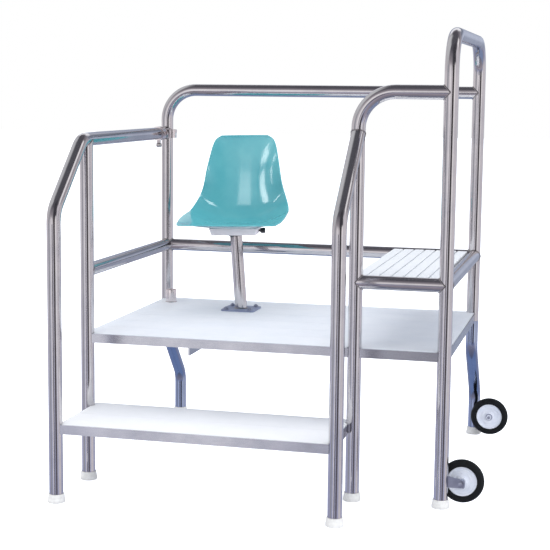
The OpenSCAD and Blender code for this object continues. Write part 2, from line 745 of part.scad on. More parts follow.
// Pin under the seat bracket, which turns in the collar
module swivel_stem() color("silver") difference() {
    union() {
        on_post(post_len - sleeve_len + 5) cylinder(h = sleeve_len + tray_rise, d = stem_od);
        on_post(post_len + collar_h + side_play) cylinder(h = shoulder_t, d = shoulder_od);
    }
    on_tray() translate([-tray_w / 2, -tray_d / 2, -tray_t - weld_gap]) cube([tray_w, tray_d, tray_h]);
}

// Pressed steel box, open at its foot, with its two sides drawn in
module seat_bracket() color("lightgray") on_tray() difference() {
    translate([0, tray_d / 2, 0]) rotate([90, 0, 0]) linear_extrude(tray_d)
        polygon([[-tray_w / 2, 0], [-tray_foot_w / 2, -tray_h], [tray_foot_w / 2, -tray_h], [tray_w / 2, 0]]);
    translate([0, tray_d / 2 - tray_t, 0]) rotate([90, 0, 0]) linear_extrude(tray_d - 2 * tray_t)
        polygon([[-tray_w / 2 + tray_t, -tray_t], [-tray_foot_w / 2 + tray_t, -tray_h - over],
            [tray_foot_w / 2 - tray_t, -tray_h - over], [tray_w / 2 - tray_t, -tray_t]]);
    seat_bolt_places() translate([0, 0, -tray_t - over]) cylinder(h = tray_t + 2 * over, d = seat_bolt_od + 0.6);
    translate([tray_foot_w / 4, 0, -lock_drop]) rotate([0, 90, 0]) cylinder(h = tray_w, d = lock_od + 0.2);
}

module seat_bolt_places() for (sx = [-1, 1], sy = [-1, 1])
    translate([sx * seat_bolt_x, sy * seat_bolt_y, 0]) children();

module seat_bolts() color("gainsboro") on_tray() seat_bolt_places() {
    translate([0, 0, -tray_t]) cylinder(h = tray_t - 0.1, d = seat_bolt_od);
    translate([0, 0, -tray_t - 5.3]) cylinder(h = 5.3, d = 13 / cos(30), $fn = 6);
}

// Lock screw through the bracket's right side, its end against the fixed collar
module swivel_lock_knob() color("black") on_tray() translate([0, 0, -lock_drop]) rotate([0, 90, 0]) {
    translate([0, 0, collar_od / 2 + 1.2]) cylinder(h = tray_w / 2 - collar_od / 2, d = lock_od);
    translate([0, 0, tray_w / 2 + 1]) difference() {
        cylinder(h = lock_knob_len, d = lock_knob_od);
        for (a = [0:45:315]) rotate([0, 0, a]) translate([lock_knob_od / 2 + 2, 0, 5])
            cylinder(h = lock_knob_len, r = 3, $fn = 24);
    }
}

// Smooth value between two stations, from the two before and the two after
function between(a, b, c, d, t) =
    0.5 * (2 * b + (c - a) * t + (2 * a - 5 * b + 4 * c - d) * t * t + (3 * b - a - 3 * c + d) * t * t * t);
function station(k) = shell_stations[max(0, min(len(shell_stations) - 1, k))];
function shell_row(i) = let (k = floor(i / rows_per_span), t = i / rows_per_span - k)
    between(station(k - 1), station(k), station(k + 1), station(k + 2), t);
shell_rows = (len(shell_stations) - 1) * rows_per_span;
// Share of the side's rise at a place across the shell
function side_share(u) = let (s = max(0, (abs(u) - flat_share) / (1 - flat_share))) s * s * (1.6 - 0.6 * s);
function shell_point(i, j) = let (r = shell_row(i), u = 2 * j / shell_cols - 1, f = side_share(u))
    [r[2] * u, r[0] - r[3] * f, r[1] + r[4] * f];
function shell_normal(i, j) = let (
        a = shell_point(min(i + 1, shell_rows), j) - shell_point(max(i - 1, 0), j),
        b = shell_point(i, min(j + 1, shell_cols)) - shell_point(i, max(j - 1, 0)),
        n = cross(b, a)) n / norm(n);

module seat_shell() {
    across = shell_cols + 1;
    layer = (shell_rows + 1) * across;
    under = [for (i = [0:shell_rows], j = [0:shell_cols]) shell_point(i, j)];
    upper = [for (i = [0:shell_rows], j = [0:shell_cols]) shell_point(i, j) + shell_t * shell_normal(i, j)];
    skin = [for (i = [0:shell_rows - 1], j = [0:shell_cols - 1])
        let (a = i * across + j, b = a + 1, c = a + across + 1, d = a + across)
        each [[a, b, c], [a, c, d], [a + layer, c + layer, b + layer], [a + layer, d + layer, c + layer]]];
    sides = [for (i = [0:shell_rows - 1]) let (a = i * across, b = a + across, c = a + shell_cols, d = c + across)
        each [[a, b, b + layer], [a, b + layer, a + layer], [d, c, c + layer], [d, c + layer, d + layer]]];
    ends = [for (j = [0:shell_cols - 1]) let (a = j, b = j + 1, c = shell_rows * across + j, d = c + 1)
        each [[b, a, a + layer], [b, a + layer, b + layer], [c, d, d + layer], [c, d + layer, c + layer]]];
    color("mediumturquoise") on_tray() translate([0, 0, shell_seat]) polyhedron(points = concat(under, upper), faces = concat(skin, sides, ends));
}

// Clamp round the left handrail, with the pole's ring at its side and a boss for its screw
module umbrella_ring() color("gainsboro") difference() {
    union() {
        translate([pole_x, pole_y, hand_z - ring_h / 2]) cylinder(h = ring_h, d = ring_od);
        translate([x_left, pole_y + ring_h / 2, hand_z]) rotate([90, 0, 0])
            cylinder(h = ring_h, r = tube_r + clamp_wall);
        translate([x_left, pole_y - ring_h / 4, hand_z - ring_h / 4]) cube([pole_x_in, ring_h / 2, ring_h / 2]);
        translate([x_left, pole_y, hand_z - tube_r - clamp_wall - clamp_boss_h])
            cylinder(h = clamp_boss_h + clamp_wall, d = clamp_boss_od);
    }
    translate([pole_x, pole_y, hand_z - ring_h]) cylinder(h = 2 * ring_h, d = pole_bore);
    translate([x_left, pole_y + ring_h, hand_z]) rotate([90, 0, 0]) cylinder(h = 2 * ring_h, r = cope_r);
    translate([x_left, pole_y, hand_z - 2 * tube_r - clamp_boss_h])
        cylinder(h = 2 * tube_r + clamp_boss_h, d = stud_od + 0.2);
}

// Hand screw that tightens the clamp on the handrail
module umbrella_knob() color("gray") translate([x_left, pole_y, hand_z - tube_r - clamp_wall - clamp_boss_h]) {
    translate([0, 0, -over]) cylinder(h = clamp_boss_h + clamp_wall + over - 0.5, d = stud_od);
    translate([0, 0, -knob_h - 0.5]) difference() {
        cylinder(h = knob_h, d = knob_od);
        for (a = [0:60:300]) rotate([0, 0, a]) translate([knob_od / 2 + 3, 0, -over])
            cylinder(h = knob_h + 2 * over, r = 5, $fn = 32);
    }
}

// Cup on the platform for the pole's foot
module umbrella_cup() color("gainsboro") translate([pole_x, pole_y, deck_top]) difference() {
    cylinder(h = cup_h, d = cup_od);
    translate([0, 0, cup_floor]) cylinder(h = cup_h, d = pole_bore);
}

left_handrail();
left_post();
right_handrail();
middle_post_rail();
end_loop();
back_rail();
rear_leg_left();
rear_leg_right();
left_mid_rail();
back_mid_rail();
shelf_front_rail();
shelf_side_rail();
deck_angle_front();
deck_angle_bay();
deck_angle_left();
deck_angle_right();
deck_angle_back();
deck_bearers();
seat_bearer();
deck_plank(1);  // deck_plank_1
deck_plank(2);  // deck_plank_2
deck_plank(3);  // deck_plank_3
deck_plank(4);  // deck_plank_4
deck_plank(5);  // deck_plank_5
deck_plank(6);  // deck_plank_6
step_angle_front();
step_angle_back();
step_angle_left();
step_angle_right();
step_tread(1);  // step_tread_front
step_tread(2);  // step_tread_rear
shelf_ledge();
shelf_crossbars();
shelf_slats();
foot_caps();
front_wheel_bracket();
rear_wheel_bracket();
front_tyre();
rear_tyre();
front_hub();
rear_hub();
front_bush();
rear_bush();
front_axle();
rear_axle();
axle_nuts();
axle_spacers();
seat_base();
seat_base_bolts();
seat_post();
swivel_collar();
swivel_stem();
seat_bracket();
seat_bolts();
swivel_lock_knob();
seat_shell();
umbrella_ring();
umbrella_knob();
umbrella_cup();
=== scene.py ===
"""Looks of a movable lifeguard stand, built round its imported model.

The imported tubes, angles, planks and slats keep their own meshes and get real finishes. The seat shell,
its bracket, the wheels, the foot caps, the knobs, the bolts and the weld beads are modelled here.
"""

import logging
import math
from bisect import bisect_left
from dataclasses import dataclass, field
from enum import Enum
from typing import Dict, List, Optional, Sequence, Tuple, Union

import bmesh
import bpy
from mathutils import Matrix, Vector


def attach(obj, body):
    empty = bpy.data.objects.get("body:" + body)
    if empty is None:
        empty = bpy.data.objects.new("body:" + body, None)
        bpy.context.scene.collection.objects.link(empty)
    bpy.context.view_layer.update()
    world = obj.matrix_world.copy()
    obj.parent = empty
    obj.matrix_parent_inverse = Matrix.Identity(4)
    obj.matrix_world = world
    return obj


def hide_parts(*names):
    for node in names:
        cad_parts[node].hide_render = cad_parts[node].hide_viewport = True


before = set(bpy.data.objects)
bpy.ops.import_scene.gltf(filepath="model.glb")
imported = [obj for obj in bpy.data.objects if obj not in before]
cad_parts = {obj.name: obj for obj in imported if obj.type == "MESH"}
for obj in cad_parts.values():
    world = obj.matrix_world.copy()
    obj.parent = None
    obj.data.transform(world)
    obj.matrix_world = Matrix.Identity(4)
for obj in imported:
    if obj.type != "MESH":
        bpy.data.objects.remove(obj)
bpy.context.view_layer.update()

logging.basicConfig(level=logging.INFO, format="%(message)s")
log = logging.getLogger("stand")

MM = 0.001
Colour = Tuple[float, float, float, float]
Key = Union[str, int]
Profile = Sequence[Tuple[float, float]]


# The stand's plan, in millimetres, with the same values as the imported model


def upright(x: float, y: float, z: float) -> Matrix:
    """Place of an upright shape whose origin is at a point in millimetres."""
    return Matrix.Translation(Vector((x, y, z)) * MM)


def facing(x: float, y: float, z: float, way: Vector) -> Matrix:
    """Place of a shape whose Z axis points a given way from a point in millimetres."""
    return upright(x, y, z) @ way.to_track_quat("Z", "Y").to_matrix().to_4x4()


@dataclass(frozen=True)
class Plan:
    """Places of the posts, rails, planks, axles, seat and umbrella pole."""

    left: float = -701.5
    step: float = 278.5
    right: float = 588.5
    front: float = -694.95
    post: float = -394.95
    back: float = 509.9
    heel: float = 694.95
    deck_z: float = 541.0
    deck_top: float = 543.0
    rail_z: float = 770.0
    hand_z: float = 1238.0
    top_z: float = 1416.0
    tube_r: float = 24.15
    lean_deg: float = 42.5
    lean_run: float = 256.0
    axle_x: float = 656.5
    axle_z: float = 87.0
    wheel_off: float = 45.15
    seat_x: float = -315.5
    seat_y: float = 288.35
    base_top: float = 549.0
    post_lean: float = 4.5
    seat_tilt: float = 1.3
    seat_turn: float = 8.0
    post_len: float = 292.0
    tray_rise: float = 36.3
    planks: int = 6
    plank_start: float = -403.45
    plank_pitch: float = 153.9
    plank_rib: float = 12.7
    tread_start: float = -703.45
    tread_pitch: float = 176.9
    tread_rib: float = 12.53
    pole_in_x: float = 54.0
    pole_in_y: float = 110.0

    def on_post(self, height: float) -> Matrix:
        """Place of a point up the leaning seat post, in millimetres above its base plate."""
        lean = Matrix.Rotation(math.radians(-self.post_lean), 4, "Y")
        return upright(self.seat_x, self.seat_y, self.base_top) @ lean @ upright(0, 0, height)

    def on_tray(self) -> Matrix:
        """Finds the seat bracket's place.

        Returns:
            Place of the middle of its top plate.
        """
        turn = Matrix.Rotation(math.radians(self.seat_turn), 4, "Z")
        level = Matrix.Rotation(math.radians(self.post_lean - self.seat_tilt), 4, "Y")
        return self.on_post(self.post_len + self.tray_rise) @ level @ turn


# Materials


def linear(code: str) -> Colour:
    """Turns an sRGB hex colour into a linear one.

    Args:
        code: six hex digits with a leading hash.

    Returns:
        Linear red, green, blue and an alpha of 1.
    """
    channels = [int(code[i:i + 2], 16) / 255 for i in (1, 3, 5)]
    turned = [c / 12.92 if c <= 0.04045 else ((c + 0.055) / 1.055) ** 2.4 for c in channels]
    return turned[0], turned[1], turned[2], 1.0


def add_node(tree: bpy.types.NodeTree, kind: str, settings: Optional[Dict[Key, object]] = None,
             links: Optional[Dict[Key, bpy.types.NodeSocket]] = None) -> bpy.types.Node:
    """Adds a node with its settings and the links into it.

    Args:
        tree: tree that the node goes into.
        kind: the node's type.
        settings: values by input name or number, or by the node's own attribute.
        links: sockets that feed the node's inputs.

    Returns:
        The new node.
    """
    node = tree.nodes.new(kind)
    for key, value in (settings or {}).items():
        if isinstance(key, int) or key in node.inputs:
            node.inputs[key].default_value = value
        else:
            setattr(node, key, value)
    for key, socket in (links or {}).items():
        tree.links.new(socket, node.inputs[key])
    return node


class Grain(Enum):
    """Way in which a surface's fine marks are drawn out."""

    NONE = (1.0, 1.0, 1.0)
    ALONG_X = (0.04, 1.0, 1.0)
    ALONG_Y = (1.0, 0.04, 1.0)
    ALONG_Z = (1.0, 1.0, 0.04)


@dataclass(frozen=True)
class RibGrooveShadows:
    """Painted shadow lines in the grooves between a plank's lengthwise ribs, in millimetres across the
    planks.
    """

    start: float
    plank_pitch: float
    rib: float
    # Colour of the painted groove shadow, and how far it darkens the plank
    tone: str = "#C3CAD6"
    strength: float = 0.55

    def paint_groove_shadows(self, tree: bpy.types.NodeTree, place: bpy.types.NodeSocket,
               colour: bpy.types.Node) -> bpy.types.Node:
        """Paints shadow lines into the grooves over a colour.

        Args:
            tree: the finish's node tree.
            place: object coordinates.
            colour: mix node of the plain colour.

        Returns:
            The mix node of the colour with its painted groove shadows.
        """
        across = add_node(tree, "ShaderNodeSeparateXYZ", {}, {"Vector": place}).outputs["Y"]
        steps = (("SUBTRACT", self.start * MM), ("FLOORED_MODULO", self.plank_pitch * MM),
                 ("FLOORED_MODULO", self.rib * MM), ("DIVIDE", self.rib * MM), ("SUBTRACT", 0.5),
                 ("ABSOLUTE", 0.0))
        for operation, value in steps:
            across = add_node(tree, "ShaderNodeMath", {"operation": operation, 1: value},
                              {0: across}).outputs[0]
        depth = add_node(tree, "ShaderNodeMapRange", {"interpolation_type": "SMOOTHSTEP",
                         "From Min": 0.3, "From Max": 0.5, "To Max": self.strength}, {"Value": across})
        return add_node(tree, "ShaderNodeMix", {"data_type": "RGBA", 7: linear(self.tone)},
                        {0: depth.outputs["Result"], 6: colour.outputs[2]})


@dataclass(frozen=True)
class Finish:
    """A surface that was made one way, with its tones, gloss and fine marks.

    Sizes in millimetres are those of the real marks.
    """

    name: str
    base: str
    shade: str
    tone_mm: float
    roughness: float
    spread: float
    grain_mm: float
    depth_mm: float
    metallic: float = 0.0
    grain: Grain = Grain.NONE
    tone_share: float = 1.0
    ior: float = 1.5
    coat: float = 0.0
    coat_roughness: float = 0.05
    # Painted shadow lines in the grooves between ribs, where the surface has them
    groove_shadows: Optional[RibGrooveShadows] = None

    def build(self) -> bpy.types.Material:
        """Makes the material.

        Returns:
            A node material that reads object coordinates.
        """
        material = bpy.data.materials.new(self.name)
        material.use_nodes = True
        tree = material.node_tree
        tree.nodes.clear()
        place = add_node(tree, "ShaderNodeTexCoord").outputs["Object"]
        drawn = add_node(tree, "ShaderNodeMapping", {"Scale": self.grain.value}, {"Vector": place})
        tone = add_node(tree, "ShaderNodeTexNoise", {"Scale": 1 / (self.tone_mm * MM), "Detail": 4.0,
                        "Roughness": 0.6}, {"Vector": place})
        share = add_node(tree, "ShaderNodeMapRange", {"From Min": 0.35, "From Max": 0.7,
                         "To Max": self.tone_share}, {"Value": tone.outputs["Fac"]})
        colour = add_node(tree, "ShaderNodeMix", {"data_type": "RGBA", 6: linear(self.base),
                          7: linear(self.shade)}, {0: share.outputs["Result"]})
        # Paints shadow into the grooves between the ribs
        if self.groove_shadows:
            colour = self.groove_shadows.paint_groove_shadows(tree, place, colour)
        marks = add_node(tree, "ShaderNodeTexNoise", {"Scale": 1 / (self.grain_mm * MM), "Detail": 3.0,
                         "Roughness": 0.55}, {"Vector": drawn.outputs["Vector"]})
        both = add_node(tree, "ShaderNodeMath", {"operation": "ADD"},
                        {0: marks.outputs["Fac"], 1: tone.outputs["Fac"]})
        gloss = add_node(tree, "ShaderNodeMapRange", {"From Min": 0.7, "From Max": 1.3,
                         "To Min": max(0.02, self.roughness - self.spread),
                         "To Max": self.roughness + self.spread}, {"Value": both.outputs["Value"]})
        bump = add_node(tree, "ShaderNodeBump", {"Strength": 1.0, "Distance": self.depth_mm * MM},
                        {"Height": marks.outputs["Fac"]})
        shader = add_node(tree, "ShaderNodeBsdfPrincipled", {"Metallic": self.metallic, "IOR": self.ior,
                          "Coat Weight": self.coat, "Coat Roughness": self.coat_roughness},
                          {"Base Color": colour.outputs[2], "Roughness": gloss.outputs["Result"],
                           "Normal": bump.outputs["Normal"]})
        add_node(tree, "ShaderNodeOutputMaterial", links={"Surface": shader.outputs["BSDF"]})
        return material


class Palette:
    """Every finish on the stand, each made once."""

    def __init__(self, plan: Plan) -> None:
        """Builds the materials.

        Args:
            plan: the stand's plan, for the places of the painted shadow lines between the planks' ribs.
        """
        # Polished stainless tube: ground, then buffed along its length, so it mirrors softly with faint
        # lines that run with the tube; the lines are drawn 3 mm apart, coarser than real ones
        steel = dict(base="#D3D0D2", shade="#C6C4C8", tone_mm=90.0, roughness=0.13, spread=0.04,
                     grain_mm=3.0, depth_mm=0.010, metallic=1.0)
        self.tube_x = Finish("polished_stainless_tube_x", grain=Grain.ALONG_X, **steel).build()
        self.tube_y = Finish("polished_stainless_tube_y", grain=Grain.ALONG_Y, **steel).build()
        self.tube_z = Finish("polished_stainless_tube_z", grain=Grain.ALONG_Z, **steel).build()
        # A darker, bluer copy of the tube steel for the rear legs: painted shade and painted reflection
        # of the shaded, bluish surroundings they mirror under the deck
        leg = dict(steel, base="#A9B4CC", shade="#9CA8C2")
        self.tube_leg_painted_shade = Finish("stainless_leg_painted_shade", grain=Grain.ALONG_Z, **leg).build()
        # Satin stainless angle: belt ground along its length, so its shine is broad and its lines show
        satin = dict(base="#C9CAD0", shade="#BDBFC6", tone_mm=120.0, roughness=0.2, spread=0.04,
                     grain_mm=2.0, depth_mm=0.006, metallic=1.0)
        self.angle_x = Finish("satin_stainless_angle_x", grain=Grain.ALONG_X, **satin).build()
        self.angle_y = Finish("satin_stainless_angle_y", grain=Grain.ALONG_Y, **satin).build()
        # Weld bead: bright filler metal with small ripples
        self.weld = Finish("stainless_weld", "#B4B0AE", "#8F8B8C", 12.0, 0.3, 0.1, 1.6, 0.08,
                           metallic=1.0).build()
        # Powder-coated aluminium plank: white, faint orange peel about 1.5 mm across, a little scuffed,
        # with painted shadow lines in the grooves between its ribs
        groove_shadows = RibGrooveShadows(plan.plank_start, plan.plank_pitch, plan.plank_rib)
        self.plank = Finish("white_coated_plank", "#E9ECF1", "#DCE1E9", 160.0, 0.42, 0.10, 1.5, 0.03,
                            tone_share=0.6, groove_shadows=groove_shadows).build()
        # A whiter copy of the plank finish for the step: painted light that makes up for the shade the
        # deck above casts on its treads, with paler painted groove shadows
        groove_shadows = RibGrooveShadows(plan.tread_start, plan.tread_pitch, plan.tread_rib, "#CDD1D9", 0.5)
        self.tread = Finish("white_tread_painted_light", "#F7F8FA", "#ECEEF2", 160.0, 0.42, 0.10, 1.5, 0.03,
                            tone_share=0.5, groove_shadows=groove_shadows).build()
        # Moulded white slat: smooth vinyl, hardly marked
        self.slat = Finish("white_vinyl_slat", "#E4E7EA", "#D6DADF", 110.0, 0.32, 0.06, 2.0, 0.02,
                           tone_share=0.5).build()
        # Moulded PVC cap: off-white, matt where it was scraped over tiles
        self.cap = Finish("white_pvc_cap", "#F5F4F1", "#DCDAD6", 14.0, 0.45, 0.12, 1.2, 0.04,
                          tone_share=0.7).build()
        # Gel coat over glass fibre: deep even turquoise under a hard clear gloss, with long soft waves
        self.shell = Finish("turquoise_gel_coat", "#4E9AA4", "#5CA6AD", 140.0, 0.14, 0.04, 9.0, 0.04,
                            tone_share=0.8, ior=1.52, coat=0.32, coat_roughness=0.05).build()
        # Pressed bracket: pale lilac-grey stoved paint with a soft shine
        self.tray = Finish("stoved_grey_bracket", "#F0E8EC", "#E2DBE0", 30.0, 0.42, 0.08, 1.4, 0.03,
                           tone_share=0.6).build()
        # Turned stainless fittings: bright and a little soft, hardly marked
        self.fitting = Finish("turned_stainless", "#C6C3C1", "#AFADAE", 20.0, 0.2, 0.06, 1.0, 0.01,
                              metallic=1.0).build()
        # Cup and ring for the pole: satin chrome, paler and a little warmer than the tubes
        self.chrome = Finish("satin_chrome", "#EFE8E8", "#DDD6D8", 20.0, 0.24, 0.06, 1.0, 0.01,
                             metallic=1.0).build()
        # Zinc plate on the wheel brackets: blue-grey, duller than the tubes
        self.zinc = Finish("zinc_plated_bracket", "#B4B9CB", "#A2A8BC", 30.0, 0.42, 0.08, 1.4, 0.03,
                           metallic=1.0).build()
        # Baked enamel on the base plate: blue-grey, dulled by shoes
        self.enamel = Finish("blue_grey_enamel", "#737D9A", "#828CA8", 18.0, 0.42, 0.12, 1.2,
                             0.03).build()
        # Acetal bush and collar: black, waxy
        self.bush = Finish("black_acetal", "#15161A", "#202227", 10.0, 0.38, 0.08, 1.0, 0.01).build()
        # Phenolic knob: black moulding with a shallow shine
        self.knob = Finish("black_phenolic", "#0C0D10", "#17181C", 9.0, 0.28, 0.08, 0.8, 0.01,
                           coat=0.25).build()
        # Solid rubber tyre: near black, dusty where it rolls
        self.tyre = Finish("solid_rubber_tyre", "#070B0E", "#161C20", 16.0, 0.78, 0.12, 0.9, 0.06,
                           tone_share=0.6, ior=1.52).build()
        # Painted pressed-steel disc: pale blue-white stoved paint
        self.disc = Finish("pale_stoved_paint", "#F1F4FC", "#DFE5F3", 26.0, 0.3, 0.08, 1.6, 0.02,
                           tone_share=0.7, coat=0.2).build()


# Mesh tools


def add_object(name: str, data: bpy.types.ID) -> bpy.types.Object:
    """Puts a new object in the scene, at the origin.

    Args:
        name: the object's name.
        data: its mesh, curve, lamp or camera.

    Returns:
        The object.
    """
    obj = bpy.data.objects.new(name, data)
    bpy.context.scene.collection.objects.link(obj)
    return obj


def dress_node(name: str, material: bpy.types.Material) -> None:
    """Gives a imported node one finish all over.

    Args:
        name: the node's name.
        material: the finish.
    """
    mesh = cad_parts[name].data
    if not mesh.materials:
        mesh.materials.append(material)
    for i in range(len(mesh.materials)):
        mesh.materials[i] = material
    log.info("%s: %s", name, material.name)


def piece_from(bm: bmesh.types.BMesh, name: str, body: str, material: bpy.types.Material,
               replaced: Sequence[str] = (), sharp_deg: float = 38.0) -> bpy.types.Object:
    """Makes a finished object from a bmesh and joins it to the model.

    Args:
        bm: the shape, in metres in the model's frame; it is freed here.
        name: the object's name.
        body: body that the piece rides on.
        material: the finish.
        replaced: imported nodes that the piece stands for.
        sharp_deg: edges that turn by more stay crisp.

    Returns:
        The object.
    """
    bmesh.ops.remove_doubles(bm, verts=bm.verts, dist=1e-6)
    bmesh.ops.recalc_face_normals(bm, faces=bm.faces)
    mesh = bpy.data.meshes.new(name)
    bm.to_mesh(mesh)
    bm.free()
    for polygon in mesh.polygons:
        polygon.use_smooth = True
    mesh.set_sharp_from_angle(angle=math.radians(sharp_deg))
    mesh.materials.append(material)
    obj = add_object(name, mesh)
    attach(obj, body)
    if replaced:
        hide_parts(*replaced)
    log.info("%s: %d faces on %s", name, len(mesh.polygons), body)
    return obj


def spin_profile(bm: bmesh.types.BMesh, profile: Profile, steps: int,
                 place: Matrix) -> List[bmesh.types.BMVert]:
    """Turns a profile round the Z axis and puts the result in place.

    Args:
        bm: mesh that takes the shape.
        profile: radius and height of each point, in millimetres.
        steps: number of steps in a whole turn.
        place: transform into the model's frame.

    Returns:
        The new vertices.
    """
    before = set(bm.verts)
    line = [bm.verts.new((r * MM, 0.0, z * MM)) for r, z in profile]
    edges = [bm.edges.new(pair) for pair in zip(line, line[1:])]
    bmesh.ops.spin(bm, geom=line + edges, cent=(0, 0, 0), axis=(0, 0, 1), dvec=(0, 0, 0),
                   angle=2 * math.pi, steps=steps, use_merge=True, use_duplicate=False)
    made = [v for v in bm.verts if v not in before]
    bmesh.ops.remove_doubles(bm, verts=made, dist=1e-6)
    made = [v for v in bm.verts if v not in before]
    bmesh.ops.transform(bm, matrix=place, verts=made)
    return made


def rounded(profile: Profile, radius: float, steps: int = 3) -> List[Tuple[float, float]]:
    """Rounds the inner corners of a profile.

    Args:
        profile: points of the profile, in millimetres.
        radius: largest rounding, in millimetres.
        steps: points in each rounding, less one.

    Returns:
        The profile with its corners rounded.
    """
    made = [profile[0]]
    for before, here, after in zip(profile, profile[1:], profile[2:]):
        a, b, c = Vector(before), Vector(here), Vector(after)
        reach = min(radius, 0.45 * (a - b).length, 0.45 * (c - b).length)
        start, end = b + (a - b).normalized() * reach, b + (c - b).normalized() * reach
        for i in range(steps + 1):
            t = i / steps
            point = start * (1 - t) ** 2 + b * 2 * t * (1 - t) + end * t ** 2
            made.append((point.x, point.y))
    made.append(profile[-1])
    return made


def soften(bm: bmesh.types.BMesh, edges: Sequence[bmesh.types.BMEdge], size: float, segments: int,
           clamp: bool = False) -> None:
    """Rounds edges.

    Args:
        bm: mesh that holds the edges.
        edges: the edges.
        size: size of the bevel, in millimetres.
        segments: number of faces across it.
        clamp: keeps the bevel within short edges.
    """
    bmesh.ops.bevel(bm, geom=edges, offset=size * MM, segments=segments, profile=0.5, affect="EDGES",
                    material=-1, clamp_overlap=clamp)


def flute(verts: Sequence[bmesh.types.BMVert], past: float, flutes: int, depth: float) -> None:
    """Draws a turned grip in between the ridges of its rim.

    Args:
        verts: the grip's vertices, round the Z axis.
        past: radius past which the grip is fluted, in millimetres.
        flutes: number of flutes.
        depth: share of the radius that a flute takes.
    """
    for v in verts:
        if math.hypot(v.co.x, v.co.y) / MM > past:
            dip = 0.5 - 0.5 * math.cos(flutes * math.atan2(v.co.y, v.co.x))
            v.co.x *= 1 - depth * dip
            v.co.y *= 1 - depth * dip


def prism(bm: bmesh.types.BMesh, sides: int, radius: float, height: float, chamfer: float,
          place: Matrix) -> None:
    """Adds an upright prism with chamfered ends, such as a nut or a bolt's head.

    Args:
        bm: mesh that takes the shape.
        sides: number of sides.
        radius: distance of the corners from the middle, in millimetres.
        height: height from the place's origin, in millimetres.
        chamfer: size of the bevel on every edge, in millimetres.
        place: transform into the model's frame.
    """
    ring = bmesh.ops.create_circle(bm, cap_ends=True, radius=radius * MM, segments=sides)["verts"]
    face = ring[0].link_faces[0]
    grown = bmesh.ops.extrude_face_region(bm, geom=[face])["geom"]
    top = [v for v in grown if isinstance(v, bmesh.types.BMVert)]
    bmesh.ops.translate(bm, verts=top, vec=(0, 0, height * MM))
    verts = list(ring) + top
    bmesh.ops.transform(bm, matrix=place, verts=verts)
    soften(bm, list({e for v in verts for e in v.link_edges}), chamfer, 2, clamp=True)


# Sub-assemblies


